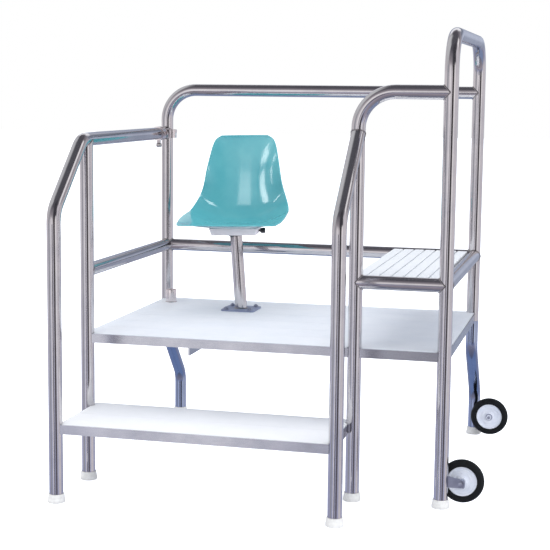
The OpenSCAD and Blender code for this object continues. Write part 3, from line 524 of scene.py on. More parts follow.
@dataclass
class TubeFrame:
    """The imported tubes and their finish, and the weld beads at their joints."""

    plan: Plan
    palette: Palette
    bead_r: float = 2.4
    bead_seat: float = 0.998
    bead_steps: int = 96
    ripple: float = 0.14
    ripples: int = 30
    grain: Dict[str, Grain] = field(default_factory=lambda: {
        "left_handrail": Grain.ALONG_Z, "left_post": Grain.ALONG_Z, "right_handrail": Grain.ALONG_Z,
        "middle_post_rail": Grain.ALONG_Z, "end_loop": Grain.ALONG_Z, "seat_post": Grain.ALONG_Z,
        "left_mid_rail": Grain.ALONG_Y, "shelf_side_rail": Grain.ALONG_Y, "back_rail": Grain.ALONG_X,
        "back_mid_rail": Grain.ALONG_X, "shelf_front_rail": Grain.ALONG_X})

    def dress(self) -> None:
        """Gives every tube the polished finish that runs along it."""
        finishes = {Grain.ALONG_X: self.palette.tube_x, Grain.ALONG_Y: self.palette.tube_y,
                    Grain.ALONG_Z: self.palette.tube_z}
        for name, grain in self.grain.items():
            dress_node(name, finishes[grain])
        # The rear legs take the darker, bluer copy of the steel, which paints shade and reflection onto
        # them
        for name in ("rear_leg_left", "rear_leg_right"):
            dress_node(name, self.palette.tube_leg_painted_shade)

    def joints(self) -> List[Tuple[Vector, Vector, Vector]]:
        """Lists the welded joints.

        Returns:
            For each joint the point where the two axes meet, the way of the tube that runs through,
            and the way of the coped tube from the joint.
        """
        p = self.plan
        x, y, z = Vector((1, 0, 0)), Vector((0, 1, 0)), Vector((0, 0, 1))
        lean = Vector((0, -math.cos(math.radians(p.lean_deg)), -math.sin(math.radians(p.lean_deg))))
        meet_z = p.hand_z + (p.post - p.front - p.lean_run) * math.tan(math.radians(p.lean_deg))
        return [
            (Vector((p.left, p.back, p.hand_z)), z, -y), (Vector((p.left, p.post, p.hand_z)), y, -z),
            (Vector((p.step, p.post, meet_z)), z, lean), (Vector((p.right, p.post, p.top_z)), z, -x),
            (Vector((p.right, p.back, p.top_z)), z, -x), (Vector((p.left, p.post, p.rail_z)), z, y),
            (Vector((p.left, p.back, p.rail_z)), z, -y), (Vector((p.left, p.back, p.rail_z)), z, x),
            (Vector((p.right, p.back, p.rail_z)), z, -x), (Vector((p.step, p.post, p.rail_z)), z, x),
            (Vector((p.right, p.post, p.rail_z)), z, -x), (Vector((p.right, p.post, p.rail_z)), z, y),
            (Vector((p.right, p.back, p.rail_z)), z, -y)]

    def saddle(self, meet: Vector, run: Vector, branch: Vector) -> List[Vector]:
        """Finds the line in which two equal tubes meet.

        Args:
            meet: point where the axes meet, in millimetres.
            run: way of the tube that runs through.
            branch: way of the coped tube.

        Returns:
            Points round the branch, in millimetres.
        """
        side = branch.cross(run).normalized()
        other = side.cross(branch).normalized()
        radius = self.plan.tube_r
        points = []
        for i in range(self.bead_steps):
            angle = 2 * math.pi * i / self.bead_steps
            rim = (side * math.cos(angle) + other * math.sin(angle)) * radius * self.bead_seat
            flat, along = rim - run * rim.dot(run), branch - run * branch.dot(run)
            a, b, c = along.dot(along), 2 * along.dot(flat), flat.dot(flat) - radius ** 2
            reach = (-b + math.sqrt(max(0.0, b * b - 4 * a * c))) / (2 * a)
            points.append(meet + rim + branch * reach)
        return points

    def build(self) -> None:
        """Lays a rippled bead round every joint."""
        lines = bpy.data.curves.new("weld_lines", "CURVE")
        lines.dimensions = "3D"
        lines.bevel_depth = self.bead_r * MM
        lines.bevel_resolution = 2
        for joint in self.joints():
            points = self.saddle(*joint)
            spline = lines.splines.new("POLY")
            spline.points.add(len(points) - 1)
            spline.use_cyclic_u = True
            for i, point in enumerate(points):
                swell = math.sin(2 * math.pi * self.ripples * i / len(points))
                spline.points[i].co = (*(point * MM), 1.0)
                spline.points[i].radius = 1 + self.ripple * swell
        holder = add_object("weld_lines", lines)
        bpy.context.view_layer.update()
        bm = bmesh.new()
        bm.from_mesh(holder.evaluated_get(bpy.context.evaluated_depsgraph_get()).to_mesh())
        bpy.data.objects.remove(holder)
        piece_from(bm, "weld_beads", "frame", self.palette.weld)


@dataclass
class Decking:
    """Metal edges, bearers, planks and slats, and the screws that hold them."""

    plan: Plan
    palette: Palette
    screw_r: float = 4.0
    screw_h: float = 1.6
    screw_ribs: Tuple[float, float] = (2.5, 9.5)
    screw_x: Tuple[float, float] = (-686.0, 573.0)

    def dress(self) -> None:
        """Gives the edges, planks and slats their finishes."""
        finishes = self.palette
        dressed = {
            finishes.angle_x: ("deck_angle_front", "deck_angle_bay", "deck_angle_back",
                               "step_angle_front", "step_angle_back", "shelf_crossbars"),
            finishes.angle_y: ("deck_angle_left", "deck_angle_right", "step_angle_left",
                               "step_angle_right", "shelf_ledge", "deck_bearers", "seat_bearer"),
            finishes.plank: [f"deck_plank_{i + 1}" for i in range(self.plan.planks)],
            finishes.tread: ("step_tread_front", "step_tread_rear"),
            finishes.slat: ("shelf_slats",)}
        for finish, names in dressed.items():
            for name in names:
                dress_node(name, finish)

    def build(self) -> None:
        """Drives small round-headed screws through the planks' ends into the ledges."""
        bm = bmesh.new()
        p, r, h = self.plan, self.screw_r, self.screw_h
        head = [(0.0, h), (2.2, h - 0.25), (r - 0.4, 0.8), (r, 0.0), (r, -0.4)]
        for i in range(p.planks):
            for rib in self.screw_ribs:
                y = p.plank_start + i * p.plank_pitch + rib * p.plank_rib
                for x in self.screw_x:
                    spin_profile(bm, head, 12, upright(x, y, p.deck_top))
        piece_from(bm, "deck_screws", "frame", self.palette.slat)


@dataclass
class FootCaps:
    """Seven moulded caps, each with a flange, a waist and a bead at its mouth."""

    plan: Plan
    palette: Palette
    floor_r: float = 31.0
    mouth_r: float = 27.5
    height: float = 30.0
    floor_t: float = 6.0
    slack: float = 0.1

    def build(self) -> None:
        """Turns the caps."""
        p, foot, mouth, top = self.plan, self.floor_r, self.mouth_r, self.height
        bore = p.tube_r + self.slack
        profile = rounded([(0, 0.4), (foot - 8, 0.4), (foot - 8, 0), (foot - 1.2, 0), (foot, 1.8),
                           (foot, 11.0), (foot - 1.2, 13.2), (mouth + 0.4, top - 5),
                           (mouth + 0.4, top - 1.2), (mouth - 0.8, top), (bore, top),
                           (bore, self.floor_t), (0, self.floor_t)], 1.2)
        bm = bmesh.new()
        for x, y in ((p.left, p.front), (p.step, p.front), (p.left, p.post), (p.step, p.post),
                     (p.right, p.post), (p.left, p.heel), (p.right, p.heel)):
            spin_profile(bm, profile, 48, upright(x, y, 0))
        piece_from(bm, "moulded_foot_caps", "frame", self.palette.cap, ["foot_caps"])


@dataclass
class Wheel:
    """A solid tyre with ringed sides on a pressed disc, turning on a bush."""

    # One face of the pressed disc, from its bore to its rim: radius and height, in millimetres
    SIDE = ((10.05, 16.0), (15.2, 16.0), (16.8, 14.6), (17.6, 9.4), (21.0, 7.0), (25.5, 6.2),
            (28.0, 6.9), (30.5, 6.9), (33.0, 5.6), (37.0, 5.2), (39.5, 6.0), (42.0, 6.0), (44.0, 7.4),
            (46.4, 10.0), (48.6, 11.6), (51.0, 11.8), (51.9, 10.8))

    name: str
    plan: Plan
    palette: Palette
    centre_y: float
    tyre_r: float = 76.0
    tyre_w: float = 38.0
    seat_r: float = 52.0
    rivets: int = 6
    rivet_ring: float = 29.2
    rivet_z: float = 6.9

    def build(self) -> None:
        """Turns the tyre and the disc and sets the disc's rivets."""
        name, body = self.name, f"{self.name}_wheel"
        place = facing(self.plan.axle_x, self.centre_y, self.plan.axle_z, Vector((0, 1, 0)))
        w, r, seat = self.tyre_w / 2, self.tyre_r, self.seat_r
        half = [(seat, w - 7), (seat + 1.5, w - 2.2), (seat + 5, w - 0.4), (seat + 10, w),
                (seat + 11.2, w - 1.3), (seat + 12.6, w - 0.3), (seat + 15.5, w - 1.6),
                (r - 4.2, w - 5.6), (r - 1.4, w - 10.5), (r - 0.3, w - 14.5), (r, 0)]
        bm = bmesh.new()
        tread = rounded(half + [(a, -b) for a, b in reversed(half[:-1])], 1.6)
        spin_profile(bm, tread + half[:1], 112, place)
        piece_from(bm, f"{name}_solid_tyre", body, self.palette.tyre, [f"{name}_tyre"],
                   sharp_deg=50)
        disc = rounded(self.SIDE, 0.8, 2)
        bm = bmesh.new()
        spin_profile(bm, disc + [(a, -b) for a, b in reversed(disc)] + disc[:1], 96, place)
        for i in range(self.rivets):
            angle = 2 * math.pi * (i + 0.5) / self.rivets
            ring = Vector((math.cos(angle), math.sin(angle), 0)) * self.rivet_ring
            for way in (1, -1):
                spot = place @ ((ring + Vector((0, 0, self.rivet_z * way))) * MM)
                rivet = facing(*(spot / MM), Vector((0, way, 0)))
                spin_profile(bm, [(0, 1.5), (1.4, 1.2), (2.4, 0.3), (2.5, -0.4)], 12, rivet)
        piece_from(bm, f"{name}_pressed_disc", body, self.palette.disc, [f"{name}_hub"])
        dress_node(f"{name}_bush", self.palette.bush)


@dataclass
class AxleParts:
    """Brackets, bolts, spacers, washers and nuts of both wheels."""

    plan: Plan
    palette: Palette
    head_r: float = 10.97
    head_h: float = 7.5
    bolt_r: float = 6.0
    plate_half: float = 3.0
    hub_end: float = 61.45
    washer_t: float = 2.5
    nut_h: float = 10.0
    bolt_end: float = 3.0
    bolt_point: float = 1.2
    chamfer: float = 0.7

    def build(self) -> None:
        """Models the bolts and dresses the brackets, spacers, washers and nuts."""
        p, r = self.plan, self.bolt_r
        end = self.plate_half + self.hub_end + self.washer_t + self.nut_h + self.bolt_end
        shank = [(0, 0), (r, 0), (r, end - self.bolt_point), (r - self.bolt_point, end), (0, end)]
        for name, leg_y, way in (("front_axle", p.post, 1), ("rear_axle", p.heel, -1)):
            line = Vector((0, way, 0))
            spot = (p.axle_x, leg_y - self.plate_half * way, p.axle_z)
            bm = bmesh.new()
            spin_profile(bm, shank, 32, facing(*spot, line))
            prism(bm, 6, self.head_r, self.head_h, self.chamfer, facing(*spot, -line))
            piece_from(bm, f"{name}_bolt", "frame", self.palette.zinc, [name])
        for name in ("front_wheel_bracket", "rear_wheel_bracket", "axle_spacers"):
            dress_node(name, self.palette.zinc)
        dress_node("axle_nuts", self.palette.disc)


@dataclass
class SeatPost:
    """Base plate, bolts, leaning post with its weld, collar and stem."""

    plan: Plan
    palette: Palette
    side: float = 136.0
    corner: float = 14.0
    thick: float = 6.0
    pitch: float = 98.0
    bolt_r: float = 5.0
    nut_r: float = 9.6
    washer_r: float = 10.5
    washer_t: float = 1.6
    nut_h: float = 6.2
    nut_sink: float = 0.2
    low_nut_h: float = 8.0
    chamfer: float = 0.6
    bearer_h: float = 32.0
    ripple: float = 0.006
    ripples: int = 36

    def build_plate(self) -> None:
        """Cuts the base plate, with round corners and a soft top edge."""
        p = self.plan
        size = Matrix.Diagonal((self.side * MM, self.side * MM, self.thick * MM, 1))
        bm = bmesh.new()
        place = upright(p.seat_x, p.seat_y, p.deck_top + self.thick / 2)
        bmesh.ops.create_cube(bm, size=1.0, matrix=place @ size)
        soften(bm, [e for e in bm.edges if abs(e.verts[0].co.z - e.verts[1].co.z) > MM], self.corner, 8)
        high = (p.deck_top + self.thick * 0.9) * MM
        soften(bm, [e for e in bm.edges if all(v.co.z > high for v in e.verts)], 1.2, 2)
        piece_from(bm, "seat_base_plate", "frame", self.palette.enamel, ["seat_base"])

    def build_bolts(self) -> None:
        """Models the four bolts with their washers, and their nuts under the bearer."""
        p, r = self.plan, self.bolt_r
        washer = rounded([(0, self.washer_t), (self.washer_r, self.washer_t), (self.washer_r, 0)], 0.5)
        tips = ([(0, 10.6), (r - 1.4, 10.6), (r, 9.4), (r, 7.0)],
                [(0, -43.0), (r - 0.8, -43.0), (r, -42.0), (r, -40.0)])
        nut_z = p.base_top + self.washer_t - self.nut_sink
        low_z = p.deck_z - self.bearer_h - self.low_nut_h
        bm = bmesh.new()
        for sx, sy in ((-1, -1), (-1, 1), (1, -1), (1, 1)):
            x, y = p.seat_x + sx * self.pitch / 2, p.seat_y + sy * self.pitch / 2
            spin_profile(bm, washer, 32, upright(x, y, p.base_top))
            prism(bm, 6, self.nut_r, self.nut_h, self.chamfer, upright(x, y, nut_z))
            for tip in tips:
                spin_profile(bm, tip, 24, upright(x, y, p.base_top))
            prism(bm, 6, self.nut_r, self.low_nut_h, self.chamfer, upright(x, y, low_z))
        piece_from(bm, "seat_base_hex_bolts", "frame", self.palette.zinc,
                   ["seat_base_bolts"])

    def build(self) -> None:
        """Builds the plate and its bolts and lays the rippled weld at the post's foot."""
        self.build_plate()
        self.build_bolts()
        p = self.plan
        bm = bmesh.new()
        bead = [(22.6, 1.0), (24.2, 3.6), (26.4, 2.6), (27.8, 0.6), (27.2, 0.0), (23.0, 0.0),
                (22.6, 1.0)]
        made = spin_profile(bm, bead, 2 * self.ripples, Matrix.Identity(4))
        for v in made:
            v.co *= 1 + self.ripple * math.sin(self.ripples * math.atan2(v.co.y, v.co.x))
        bmesh.ops.transform(bm, matrix=upright(p.seat_x, p.seat_y, p.base_top), verts=made)
        piece_from(bm, "post_foot_weld", "frame", self.palette.weld)
        dress_node("swivel_collar", self.palette.bush)
        dress_node("swivel_stem", self.palette.fitting)


class ShellLine:
    """The seat's moulded form, a smooth surface through sections from its lip to its top."""

    # Place back, height, half width, then how far the sides come forward and up, in millimetres
    STATIONS: Tuple[Tuple[float, ...], ...] = (
        (-190, 18, 184, 0, 1), (-183, 16, 195, 0, 3), (-163, 11, 202, 0, 12),
        (-128, 4, 207, 0, 22), (-85, 0, 211, 0, 34), (-30, 0, 211, 0, 42), (25, 0, 208, 0, 49),
        (78, 0, 205, 4, 56), (124, 4, 198, 12, 69), (158, 17, 188, 20, 78), (180, 46, 177, 24, 75),
        (192, 90, 168, 30, 59), (201, 138, 162, 38, 37), (210, 204, 155, 39, 13),
        (217, 270, 144, 27, 2), (221, 319, 133, 15, -2), (222, 346, 120, 8, -3), (221, 359, 97, 4, -1))
    SIDE_POWER = 2.5
    SAMPLES = 4000

    def section(self, s: float) -> List[float]:
        """Finds a section between the stations.

        Args:
            s: share of the way from the lip to the top.

        Returns:
            The section's five measures, as in STATIONS.
        """
        last = len(self.STATIONS) - 1
        k = min(last - 1, int(s * last))
        t = s * last - k
        a, b, c, d = (self.STATIONS[max(0, min(last, k + i))] for i in (-1, 0, 1, 2))
        return [0.5 * (2 * q + (r - p) * t + (2 * p - 5 * q + 4 * r - w) * t ** 2
                       + (3 * q - p - 3 * r + w) * t ** 3) for p, q, r, w in zip(a, b, c, d)]

    def even_shares(self, rows: int) -> List[float]:
        """Finds the shares that part the rim into rows of equal length.

        Args:
            rows: number of rows.

        Returns:
            The shares from the lip to the top, one more than the rows.
        """
        fine = [i / self.SAMPLES for i in range(self.SAMPLES + 1)]
        rim = [self.point(s, 1.0) for s in fine]
        run = [0.0]
        for a, b in zip(rim, rim[1:]):
            run.append(run[-1] + (b - a).length)
        return [fine[bisect_left(run, run[-1] * i / rows)] for i in range(rows)] + [1.0]

    def point(self, s: float, u: float) -> Vector:
        """Finds a point of the underside.

        Args:
            s: share of the way from the lip to the top.
            u: share of the half width, from -1 to 1.

        Returns:
            The point, in millimetres from the bracket's top.
        """
        back, height, half, forward, up = self.section(s)
        share = abs(u) ** self.SIDE_POWER
        return Vector((half * u, back - forward * share, height + up * share))


@dataclass
class Seat:
    """Moulded shell on its pressed bracket, with its bolts and lock knob."""

    plan: Plan
    palette: Palette
    thick: float = 5.0
    lift: float = 0.2
    rim_r: float = 1.7
    along: int = 96
    across: int = 72
    shell_turn: float = -4.0
    tray_w: float = 197.0
    tray_foot_w: float = 176.0
    tray_d: float = 140.0
    tray_h: float = 29.0
    tray_t: float = 3.0
    tray_r: float = 4.0
    knob_drop: float = 15.0

    def build_shell(self) -> bpy.types.Object:
        """Moulds the shell, gives it its thickness and rounds its rim.

        Returns:
            The shell.
        """
        form = ShellLine()
        bm = bmesh.new()
        bmesh.ops.create_grid(bm, x_segments=self.across, y_segments=self.along, size=1.0)
        shares = form.even_shares(self.along)
        for v in bm.verts:
            share = shares[round((v.co.y + 1) / 2 * self.along)]
            v.co = (form.point(share, v.co.x) + Vector((0, 0, self.lift))) * MM
        bmesh.ops.recalc_face_normals(bm, faces=bm.faces)
        if min(bm.faces, key=lambda f: f.calc_center_median().length).normal.z < 0:
            bmesh.ops.reverse_faces(bm, faces=bm.faces)
        bmesh.ops.solidify(bm, geom=list(bm.faces), thickness=-self.thick * MM)
        sharp = math.radians(60)
        soften(bm, [e for e in bm.edges if len(e.link_faces) == 2 and e.calc_face_angle(0) > sharp],
               self.rim_r, 3)
        turn = Matrix.Rotation(math.radians(self.shell_turn), 4, "Z")
        bmesh.ops.transform(bm, matrix=self.plan.on_tray() @ turn, verts=bm.verts)
        return piece_from(bm, "moulded_seat_shell", "seat", self.palette.shell,
                          ["seat_shell"], sharp_deg=60)

    def build_bracket(self) -> None:
        """Presses the bracket: a box open at its foot, with its sides drawn in and its edges round."""
        bm = bmesh.new()
        bmesh.ops.create_cube(bm, size=1.0)
        for v in bm.verts:
            wide = self.tray_w if v.co.z > 0 else self.tray_foot_w
            v.co = Vector((v.co.x * wide, v.co.y * self.tray_d, (v.co.z - 0.5) * self.tray_h)) * MM
        upper = [e for e in bm.edges if all(f.normal.z > -0.9 for f in e.link_faces)]
        soften(bm, upper, self.tray_r, 4)
        foot = [f for f in bm.faces if f.normal.z < -0.9]
        bmesh.ops.delete(bm, geom=foot, context="FACES_ONLY")
        bmesh.ops.recalc_face_normals(bm, faces=bm.faces)
        if max(bm.faces, key=lambda f: f.calc_center_median().z).normal.z < 0:
            bmesh.ops.reverse_faces(bm, faces=bm.faces)
        bmesh.ops.solidify(bm, geom=list(bm.faces), thickness=self.tray_t * MM)
        bmesh.ops.transform(bm, matrix=self.plan.on_tray(), verts=bm.verts)
        piece_from(bm, "pressed_seat_bracket", "seat", self.palette.tray, ["seat_bracket"])
        dress_node("seat_bolts", self.palette.fitting)

    def build_knob(self) -> None:
        """Turns the lock knob and flutes its rim."""
        bm = bmesh.new()
        sideways = Matrix.Rotation(math.radians(90), 4, "Y")
        place = self.plan.on_tray() @ upright(0, 0, -self.knob_drop) @ sideways
        start = self.tray_w / 2 + 1
        grip = rounded([(4, start), (8.5, start), (8.5, start + 2.4), (11, start + 4),
                        (11, start + 17.5), (9.4, start + 20), (0, start + 20)], 1.2)
        rim = spin_profile(bm, grip, 64, Matrix.Identity(4))
        flute(rim, past=9.0, flutes=8, depth=0.11)
        spin_profile(bm, [(0, 30.2), (3.2, 30.2), (4, 31), (4, start + 1)], 24, Matrix.Identity(4))
        bmesh.ops.transform(bm, matrix=place, verts=bm.verts)
        piece_from(bm, "fluted_lock_knob", "seat_lock", self.palette.knob, ["swivel_lock_knob"])

    def build(self) -> bpy.types.Object:
        """Builds the bracket, the lock knob and the shell.

        Returns:
            The shell.
        """
        self.build_bracket()
        self.build_knob()
        return self.build_shell()


@dataclass
class UmbrellaHolder:
    """Ring on its rail clamp, the clamp's knob and the cup on the platform."""

    plan: Plan
    palette: Palette
    bore_r: float = 19.35
    cup_r: float = 21.1
    cup_h: float = 52.0
    cup_floor: float = 4.0
    clamp_wall: float = 4.0
    boss_h: float = 10.0

    def build(self) -> None:
        """Turns the cup and the knob; the clamp keeps its packed form."""
        p = self.plan
        x, y = p.left + p.pole_in_x, p.back - p.pole_in_y
        bm = bmesh.new()
        cup = rounded([(0, 0), (self.cup_r, 0), (self.cup_r, self.cup_h), (self.bore_r, self.cup_h),
                       (self.bore_r, self.cup_floor), (0, self.cup_floor)], 0.8)
        spin_profile(bm, cup, 64, upright(x, y, p.deck_top))
        bead = [(21.0, 0.4), (21.6, 2.4), (23.6, 1.6), (24.4, 0.1), (21.0, 0.1), (21.0, 0.4)]
        spin_profile(bm, bead, 64, upright(x, y, p.deck_top))
        piece_from(bm, "umbrella_pole_cup", "frame", self.palette.chrome,
                   ["umbrella_cup"])
        dress_node("umbrella_ring", self.palette.chrome)
        bm = bmesh.new()
        top = p.hand_z - p.tube_r - self.clamp_wall - self.boss_h
        grip = rounded([(0, -17.5), (8.6, -17.5), (11.5, -14.5), (11.5, -4), (9, -0.5), (4, -0.5)], 1.4)
        rim = spin_profile(bm, grip, 72, Matrix.Identity(4))
        flute(rim, past=8.0, flutes=6, depth=0.14)
        spin_profile(bm, [(4, -1), (4, 12.6), (3.2, 13.4), (0, 13.4)], 24, Matrix.Identity(4))
        bmesh.ops.transform(bm, matrix=upright(p.left, y, top), verts=bm.verts)
        piece_from(bm, "clamp_hand_knob", "clamp_knob", self.palette.fitting,
                   ["umbrella_knob"])


# Studio


@dataclass(frozen=True)
class Card:
    """A pale panel or a dark cloth in the room that metal mirrors, placed by angles in degrees.

    The compass is 0 in front of the stand and grows towards its right-hand end.
    """

    compass: float
    half_width: float
    height: float
    half_height: float
    soft: float
    tone: str


@dataclass
class Studio:
    """White floor, soft lamps, the room that metal mirrors, and the camera."""

    # Tones of the bare room from straight below to straight above, by degrees over the horizon
    ROOM = ((-90, "#646F86"), (-45, "#8F8A94"), (-26, "#A29AA4"), (-16, "#A6ACCB"), (-9, "#CFCED8"),
            (-3, "#D9D5D9"), (8, "#CDC8CB"), (26, "#948F94"), (44, "#76737A"), (56, "#55535A"),
            (90, "#55565C"))
    # Panels and cloths of the room, each painted over those before it
    CARDS = {
        "back_wall": Card(180, 30, 0, 30, 12, "#979EB0"),
        "back_wall_top": Card(165, 14, 19, 5, 3, "#727987"),
        "back_wall_strip": Card(166, 16, 4, 4, 3, "#B2B9CB"),
        "back_skylight": Card(-170, 28, 33, 9, 6, "#FAFBFF"),
        "left_corner": Card(-58, 12, -3, 20, 8, "#999BA2"),
        "left_window": Card(-100, 38, 38, 24, 12, "#C9CBCD"),
        "front_window": Card(-18, 5, -11, 8, 3, "#F4F2F6"),
        "front_pillar": Card(-2, 7, -11, 8, 4, "#58545A"),
        "dark_curtain": Card(31, 13, -2, 18, 6, "#4E494B"),
        "dark_ceiling": Card(42, 32, 42, 28, 8, "#3E3D43"),
        "right_window": Card(92, 24, 6, 34, 7, "#D3CFD4"),
        "right_strip": Card(57, 6, 2, 15, 4, "#FFFDFC"),
        "left_strip": Card(-16, 9, 5, 11, 5, "#F3F1F3"),
        "dark_core": Card(27, 7, 6, 13, 4, "#161416"),
        "right_skylight": Card(112, 14, 40, 8, 4, "#FEFCFC"),
        "blue_ground": Card(180, 112, -64, 32, 16, "#8797B8")}

    # Soft boxes: place and size in metres, power in watts, tint
    BOXES = (("key_box", (-3.4, -4.6, 3.2), (3.2, 3.2), 36.0, "#FFFCF8"),
             ("fill_box", (4.7, -1.4, 2.0), (3.0, 3.0), 60.0, "#F6F8FF"),
             ("top_box", (0.0, 0.2, 4.8), (5.0, 5.0), 110.0, "#FFFFFF"))

    # The seat's windows: compass and height in degrees, width and height in metres, brightness
    WINDOWS = (("left_window_light", -33.0, 11.5, (0.85, 0.66), 9.0),
               ("left_pane_light", -54.0, 12.0, (0.3, 1.1), 8.0),
               ("front_window_light", -9.0, 15.5, (0.66, 0.8), 3.6),
               ("right_window_light", 47.0, 34.0, (1.2, 0.9), 7.0),
               ("right_pane_light", 55.0, 19.0, (0.35, 0.8), 7.0))

    camera_mm: Tuple[float, float, float] = (1139.365, -4999.084, 1409.95)
    yaw: float = -13.974
    pitch: float = -7.545
    roll: float = 0.606
    lens_px: float = 1379.12
    frame_px: float = 550.0
    sensor: float = 36.0
    air: float = 1.15
    air_tone: str = "#F2F4F8"
    room_gain: float = 1.2
    floor_tone: str = "#DDE0E6"
    floor_glow: float = 0.85
    floor_half: float = 40.0
    box_aim: Tuple[float, float, float] = (0.0, 0.0, 0.7)
    seat_middle: Tuple[float, float, float] = (-0.34, 0.29, 1.1)
    window_far: float = 4.5

    def camera(self) -> None:
        """Sets the camera at the photograph's place."""
        yaw, pitch, roll = (math.radians(a) for a in (self.yaw, self.pitch, self.roll))
        flat = math.cos(pitch)
        ahead = Vector((math.sin(yaw) * flat, math.cos(yaw) * flat, math.sin(pitch)))
        level = Vector((math.cos(yaw), -math.sin(yaw), 0))
        above = level.cross(ahead)
        right = level * math.cos(roll) + above * math.sin(roll)
        up = above * math.cos(roll) - level * math.sin(roll)
        data = bpy.data.cameras.new("camera")
        data.sensor_width = self.sensor
        data.lens = self.lens_px / self.frame_px * self.sensor
        data.clip_end = 100
        camera = add_object("camera", data)
        turn = Matrix((right, up, -ahead)).transposed().to_4x4()
        camera.matrix_world = Matrix.Translation(Vector(self.camera_mm) * MM) @ turn
        bpy.context.scene.camera = camera

    def mirrored_room(self, tree: bpy.types.NodeTree) -> bpy.types.NodeSocket:
        """Paints the room that metal and gloss mirror, by compass and height above the horizon.

        Args:
            tree: the world's node tree.

        Returns:
            The room's colour.
        """
        way = add_node(tree, "ShaderNodeTexCoord").outputs["Generated"]
        axes = add_node(tree, "ShaderNodeSeparateXYZ", {}, {"Vector": way})
        front = add_node(tree, "ShaderNodeMath", {"operation": "MULTIPLY", 1: -1.0},
                         {0: axes.outputs["Y"]})
        turn = add_node(tree, "ShaderNodeMath", {"operation": "ARCTAN2"},
                        {0: axes.outputs["X"], 1: front.outputs[0]})
        rise = add_node(tree, "ShaderNodeMath", {"operation": "ARCSINE"}, {0: axes.outputs["Z"]})
        compass, height = (add_node(tree, "ShaderNodeMath", {"operation": "DEGREES"},
                                    {0: angle.outputs[0]}).outputs[0] for angle in (turn, rise))
        share = add_node(tree, "ShaderNodeMapRange", {"From Min": -90.0, "From Max": 90.0},
                         {"Value": height})
        ramp = add_node(tree, "ShaderNodeValToRGB", {}, {"Fac": share.outputs["Result"]})
        stops = ramp.color_ramp.elements
        for i, (level, tone) in enumerate(self.ROOM):
            stop = stops[i] if i < 2 else stops.new(1.0)
            stop.position, stop.color = (level + 90) / 180, linear(tone)
        colour = ramp.outputs["Color"]
        for card in self.CARDS.values():
            inside = []
            for angle, middle, half in ((compass, card.compass, card.half_width),
                                        (height, card.height, card.half_height)):
                steps = (("SUBTRACT", middle, 0.0), ("WRAP", 180.0, -180.0), ("ABSOLUTE", 0.0, 0.0))
                for operation, value, low in steps:
                    angle = add_node(tree, "ShaderNodeMath", {"operation": operation, 1: value, 2: low},
                                     {0: angle}).outputs[0]
                near = add_node(tree, "ShaderNodeMapRange", {
                    "interpolation_type": "SMOOTHSTEP", "From Min": half + card.soft,
                    "From Max": half - card.soft}, {"Value": angle})
                inside.append(near.outputs["Result"])
            both = add_node(tree, "ShaderNodeMath", {"operation": "MULTIPLY"},
                            {0: inside[0], 1: inside[1]})
            colour = add_node(tree, "ShaderNodeMix", {"data_type": "RGBA", 7: linear(card.tone)},
                              {0: both.outputs[0], 6: colour}).outputs[2]
        return colour

    def world(self) -> None:
        """Gives an even soft light, a white ground to the camera, and a room to metal and gloss."""
        world = bpy.data.worlds.new("studio_air")
        world.use_nodes = True
        tree = world.node_tree
        tree.nodes.clear()
        path = add_node(tree, "ShaderNodeLightPath")
        seen = add_node(tree, "ShaderNodeMath", {"operation": "MAXIMUM"},
                        {0: path.outputs["Is Camera Ray"], 1: path.outputs["Is Transmission Ray"]})
        soft = add_node(tree, "ShaderNodeBackground", {"Color": linear(self.air_tone),
                        "Strength": self.air})
        glossy = add_node(tree, "ShaderNodeBackground", {"Strength": self.room_gain},
                          {"Color": self.mirrored_room(tree)})
        white = add_node(tree, "ShaderNodeBackground", {"Color": (1, 1, 1, 1), "Strength": 1.0})
        lit = add_node(tree, "ShaderNodeMixShader", {}, {0: path.outputs["Is Glossy Ray"],
                       1: soft.outputs[0], 2: glossy.outputs[0]})
        shown = add_node(tree, "ShaderNodeMixShader", {}, {0: seen.outputs[0], 1: lit.outputs[0],
                         2: white.outputs[0]})
        add_node(tree, "ShaderNodeOutputWorld", links={"Surface": shown.outputs[0]})
        bpy.context.scene.world = world

    def floor(self) -> None:
        """Lays a white floor that keeps the stand's soft shadow and that mirrors don't see."""
        material = bpy.data.materials.new("white_floor")
        material.use_nodes = True
        tree = material.node_tree
        tree.nodes.clear()
        path = add_node(tree, "ShaderNodeLightPath")
        matt = add_node(tree, "ShaderNodeBsdfDiffuse", {"Color": linear(self.floor_tone)})
        glow = add_node(tree, "ShaderNodeEmission", {"Color": (1, 1, 1, 1),
                        "Strength": self.floor_glow})
        bright = add_node(tree, "ShaderNodeAddShader", {}, {0: matt.outputs[0], 1: glow.outputs[0]})
        seen = add_node(tree, "ShaderNodeMixShader", {}, {0: path.outputs["Is Camera Ray"],
                        1: matt.outputs[0], 2: bright.outputs[0]})
        add_node(tree, "ShaderNodeOutputMaterial", links={"Surface": seen.outputs[0]})
        bm = bmesh.new()
        bmesh.ops.create_grid(bm, x_segments=1, y_segments=1, size=self.floor_half)
        mesh = bpy.data.meshes.new("floor")
        bm.to_mesh(mesh)
        bm.free()
        mesh.materials.append(material)
        ground = add_object("floor", mesh)
        ground.visible_glossy = False

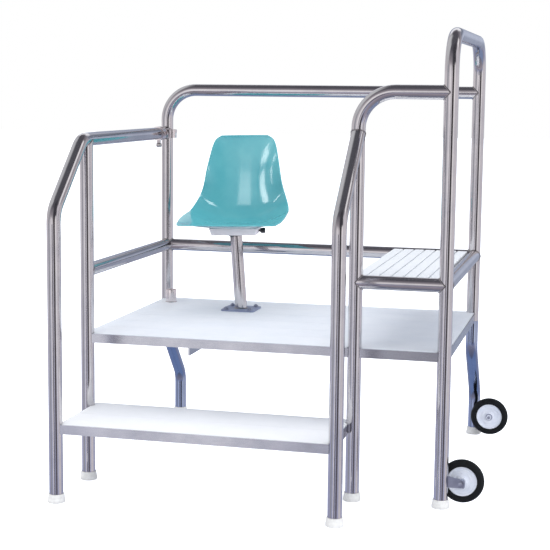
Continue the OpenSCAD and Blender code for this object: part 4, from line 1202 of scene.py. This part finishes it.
    def lamp(self, name: str, size: Tuple[float, float], power: float, place: Vector,
             back: Vector) -> bpy.types.Object:
        """Hangs a rectangular lamp that the camera doesn't see.

        Args:
            name: the lamp's name.
            size: its width and height, in metres.
            power: its power, in watts.
            place: its middle, in metres.
            back: way from what it lights to the lamp.

        Returns:
            The lamp.
        """
        data = bpy.data.lights.new(name, "AREA")
        data.shape = "RECTANGLE"
        data.size, data.size_y = size
        data.energy = power
        lamp = add_object(name, data)
        lamp.location = place
        lamp.rotation_euler = back.to_track_quat("Z", "Y").to_euler()
        lamp.visible_camera = False
        return lamp

    def boxes(self) -> None:
        """Hangs the soft boxes, which light the stand but aren't mirrored."""
        for name, place, size, power, tint in self.BOXES:
            lamp = self.lamp(name, size, power, Vector(place), Vector(place) - Vector(self.box_aim))
            lamp.data.color = linear(tint)[:3]
            lamp.visible_glossy = False

    def windows(self, shell: bpy.types.Object) -> None:
        """Hangs the bright windows that only the seat's gel coat mirrors as white spots.

        Args:
            shell: the seat shell.
        """
        mirrors = bpy.data.collections.new("gel_coat")
        mirrors.objects.link(shell)
        for name, compass, height, size, radiance in self.WINDOWS:
            turn, rise = math.radians(compass), math.radians(height)
            flat = math.cos(rise)
            way = Vector((math.sin(turn) * flat, -math.cos(turn) * flat, math.sin(rise)))
            power = radiance * math.pi * size[0] * size[1]
            lamp = self.lamp(name, size, power, Vector(self.seat_middle) + way * self.window_far, way)
            lamp.light_linking.receiver_collection = mirrors

    def build(self) -> None:
        """Sets up the whole studio."""
        self.camera()
        self.world()
        self.floor()
        self.boxes()
        bpy.context.scene.view_settings.view_transform = "Standard"


def main() -> None:
    """Builds the studio and every part of the stand in order."""
    plan = Plan()
    palette = Palette(plan)
    studio = Studio()
    studio.build()
    tubes = TubeFrame(plan, palette)
    tubes.dress()
    tubes.build()
    decking = Decking(plan, palette)
    decking.dress()
    decking.build()
    FootCaps(plan, palette).build()
    Wheel("front", plan, palette, plan.post + plan.wheel_off).build()
    Wheel("rear", plan, palette, plan.heel - plan.wheel_off).build()
    AxleParts(plan, palette).build()
    SeatPost(plan, palette).build()
    studio.windows(Seat(plan, palette).build())
    UmbrellaHolder(plan, palette).build()


if __name__ == "__main__":
    main()
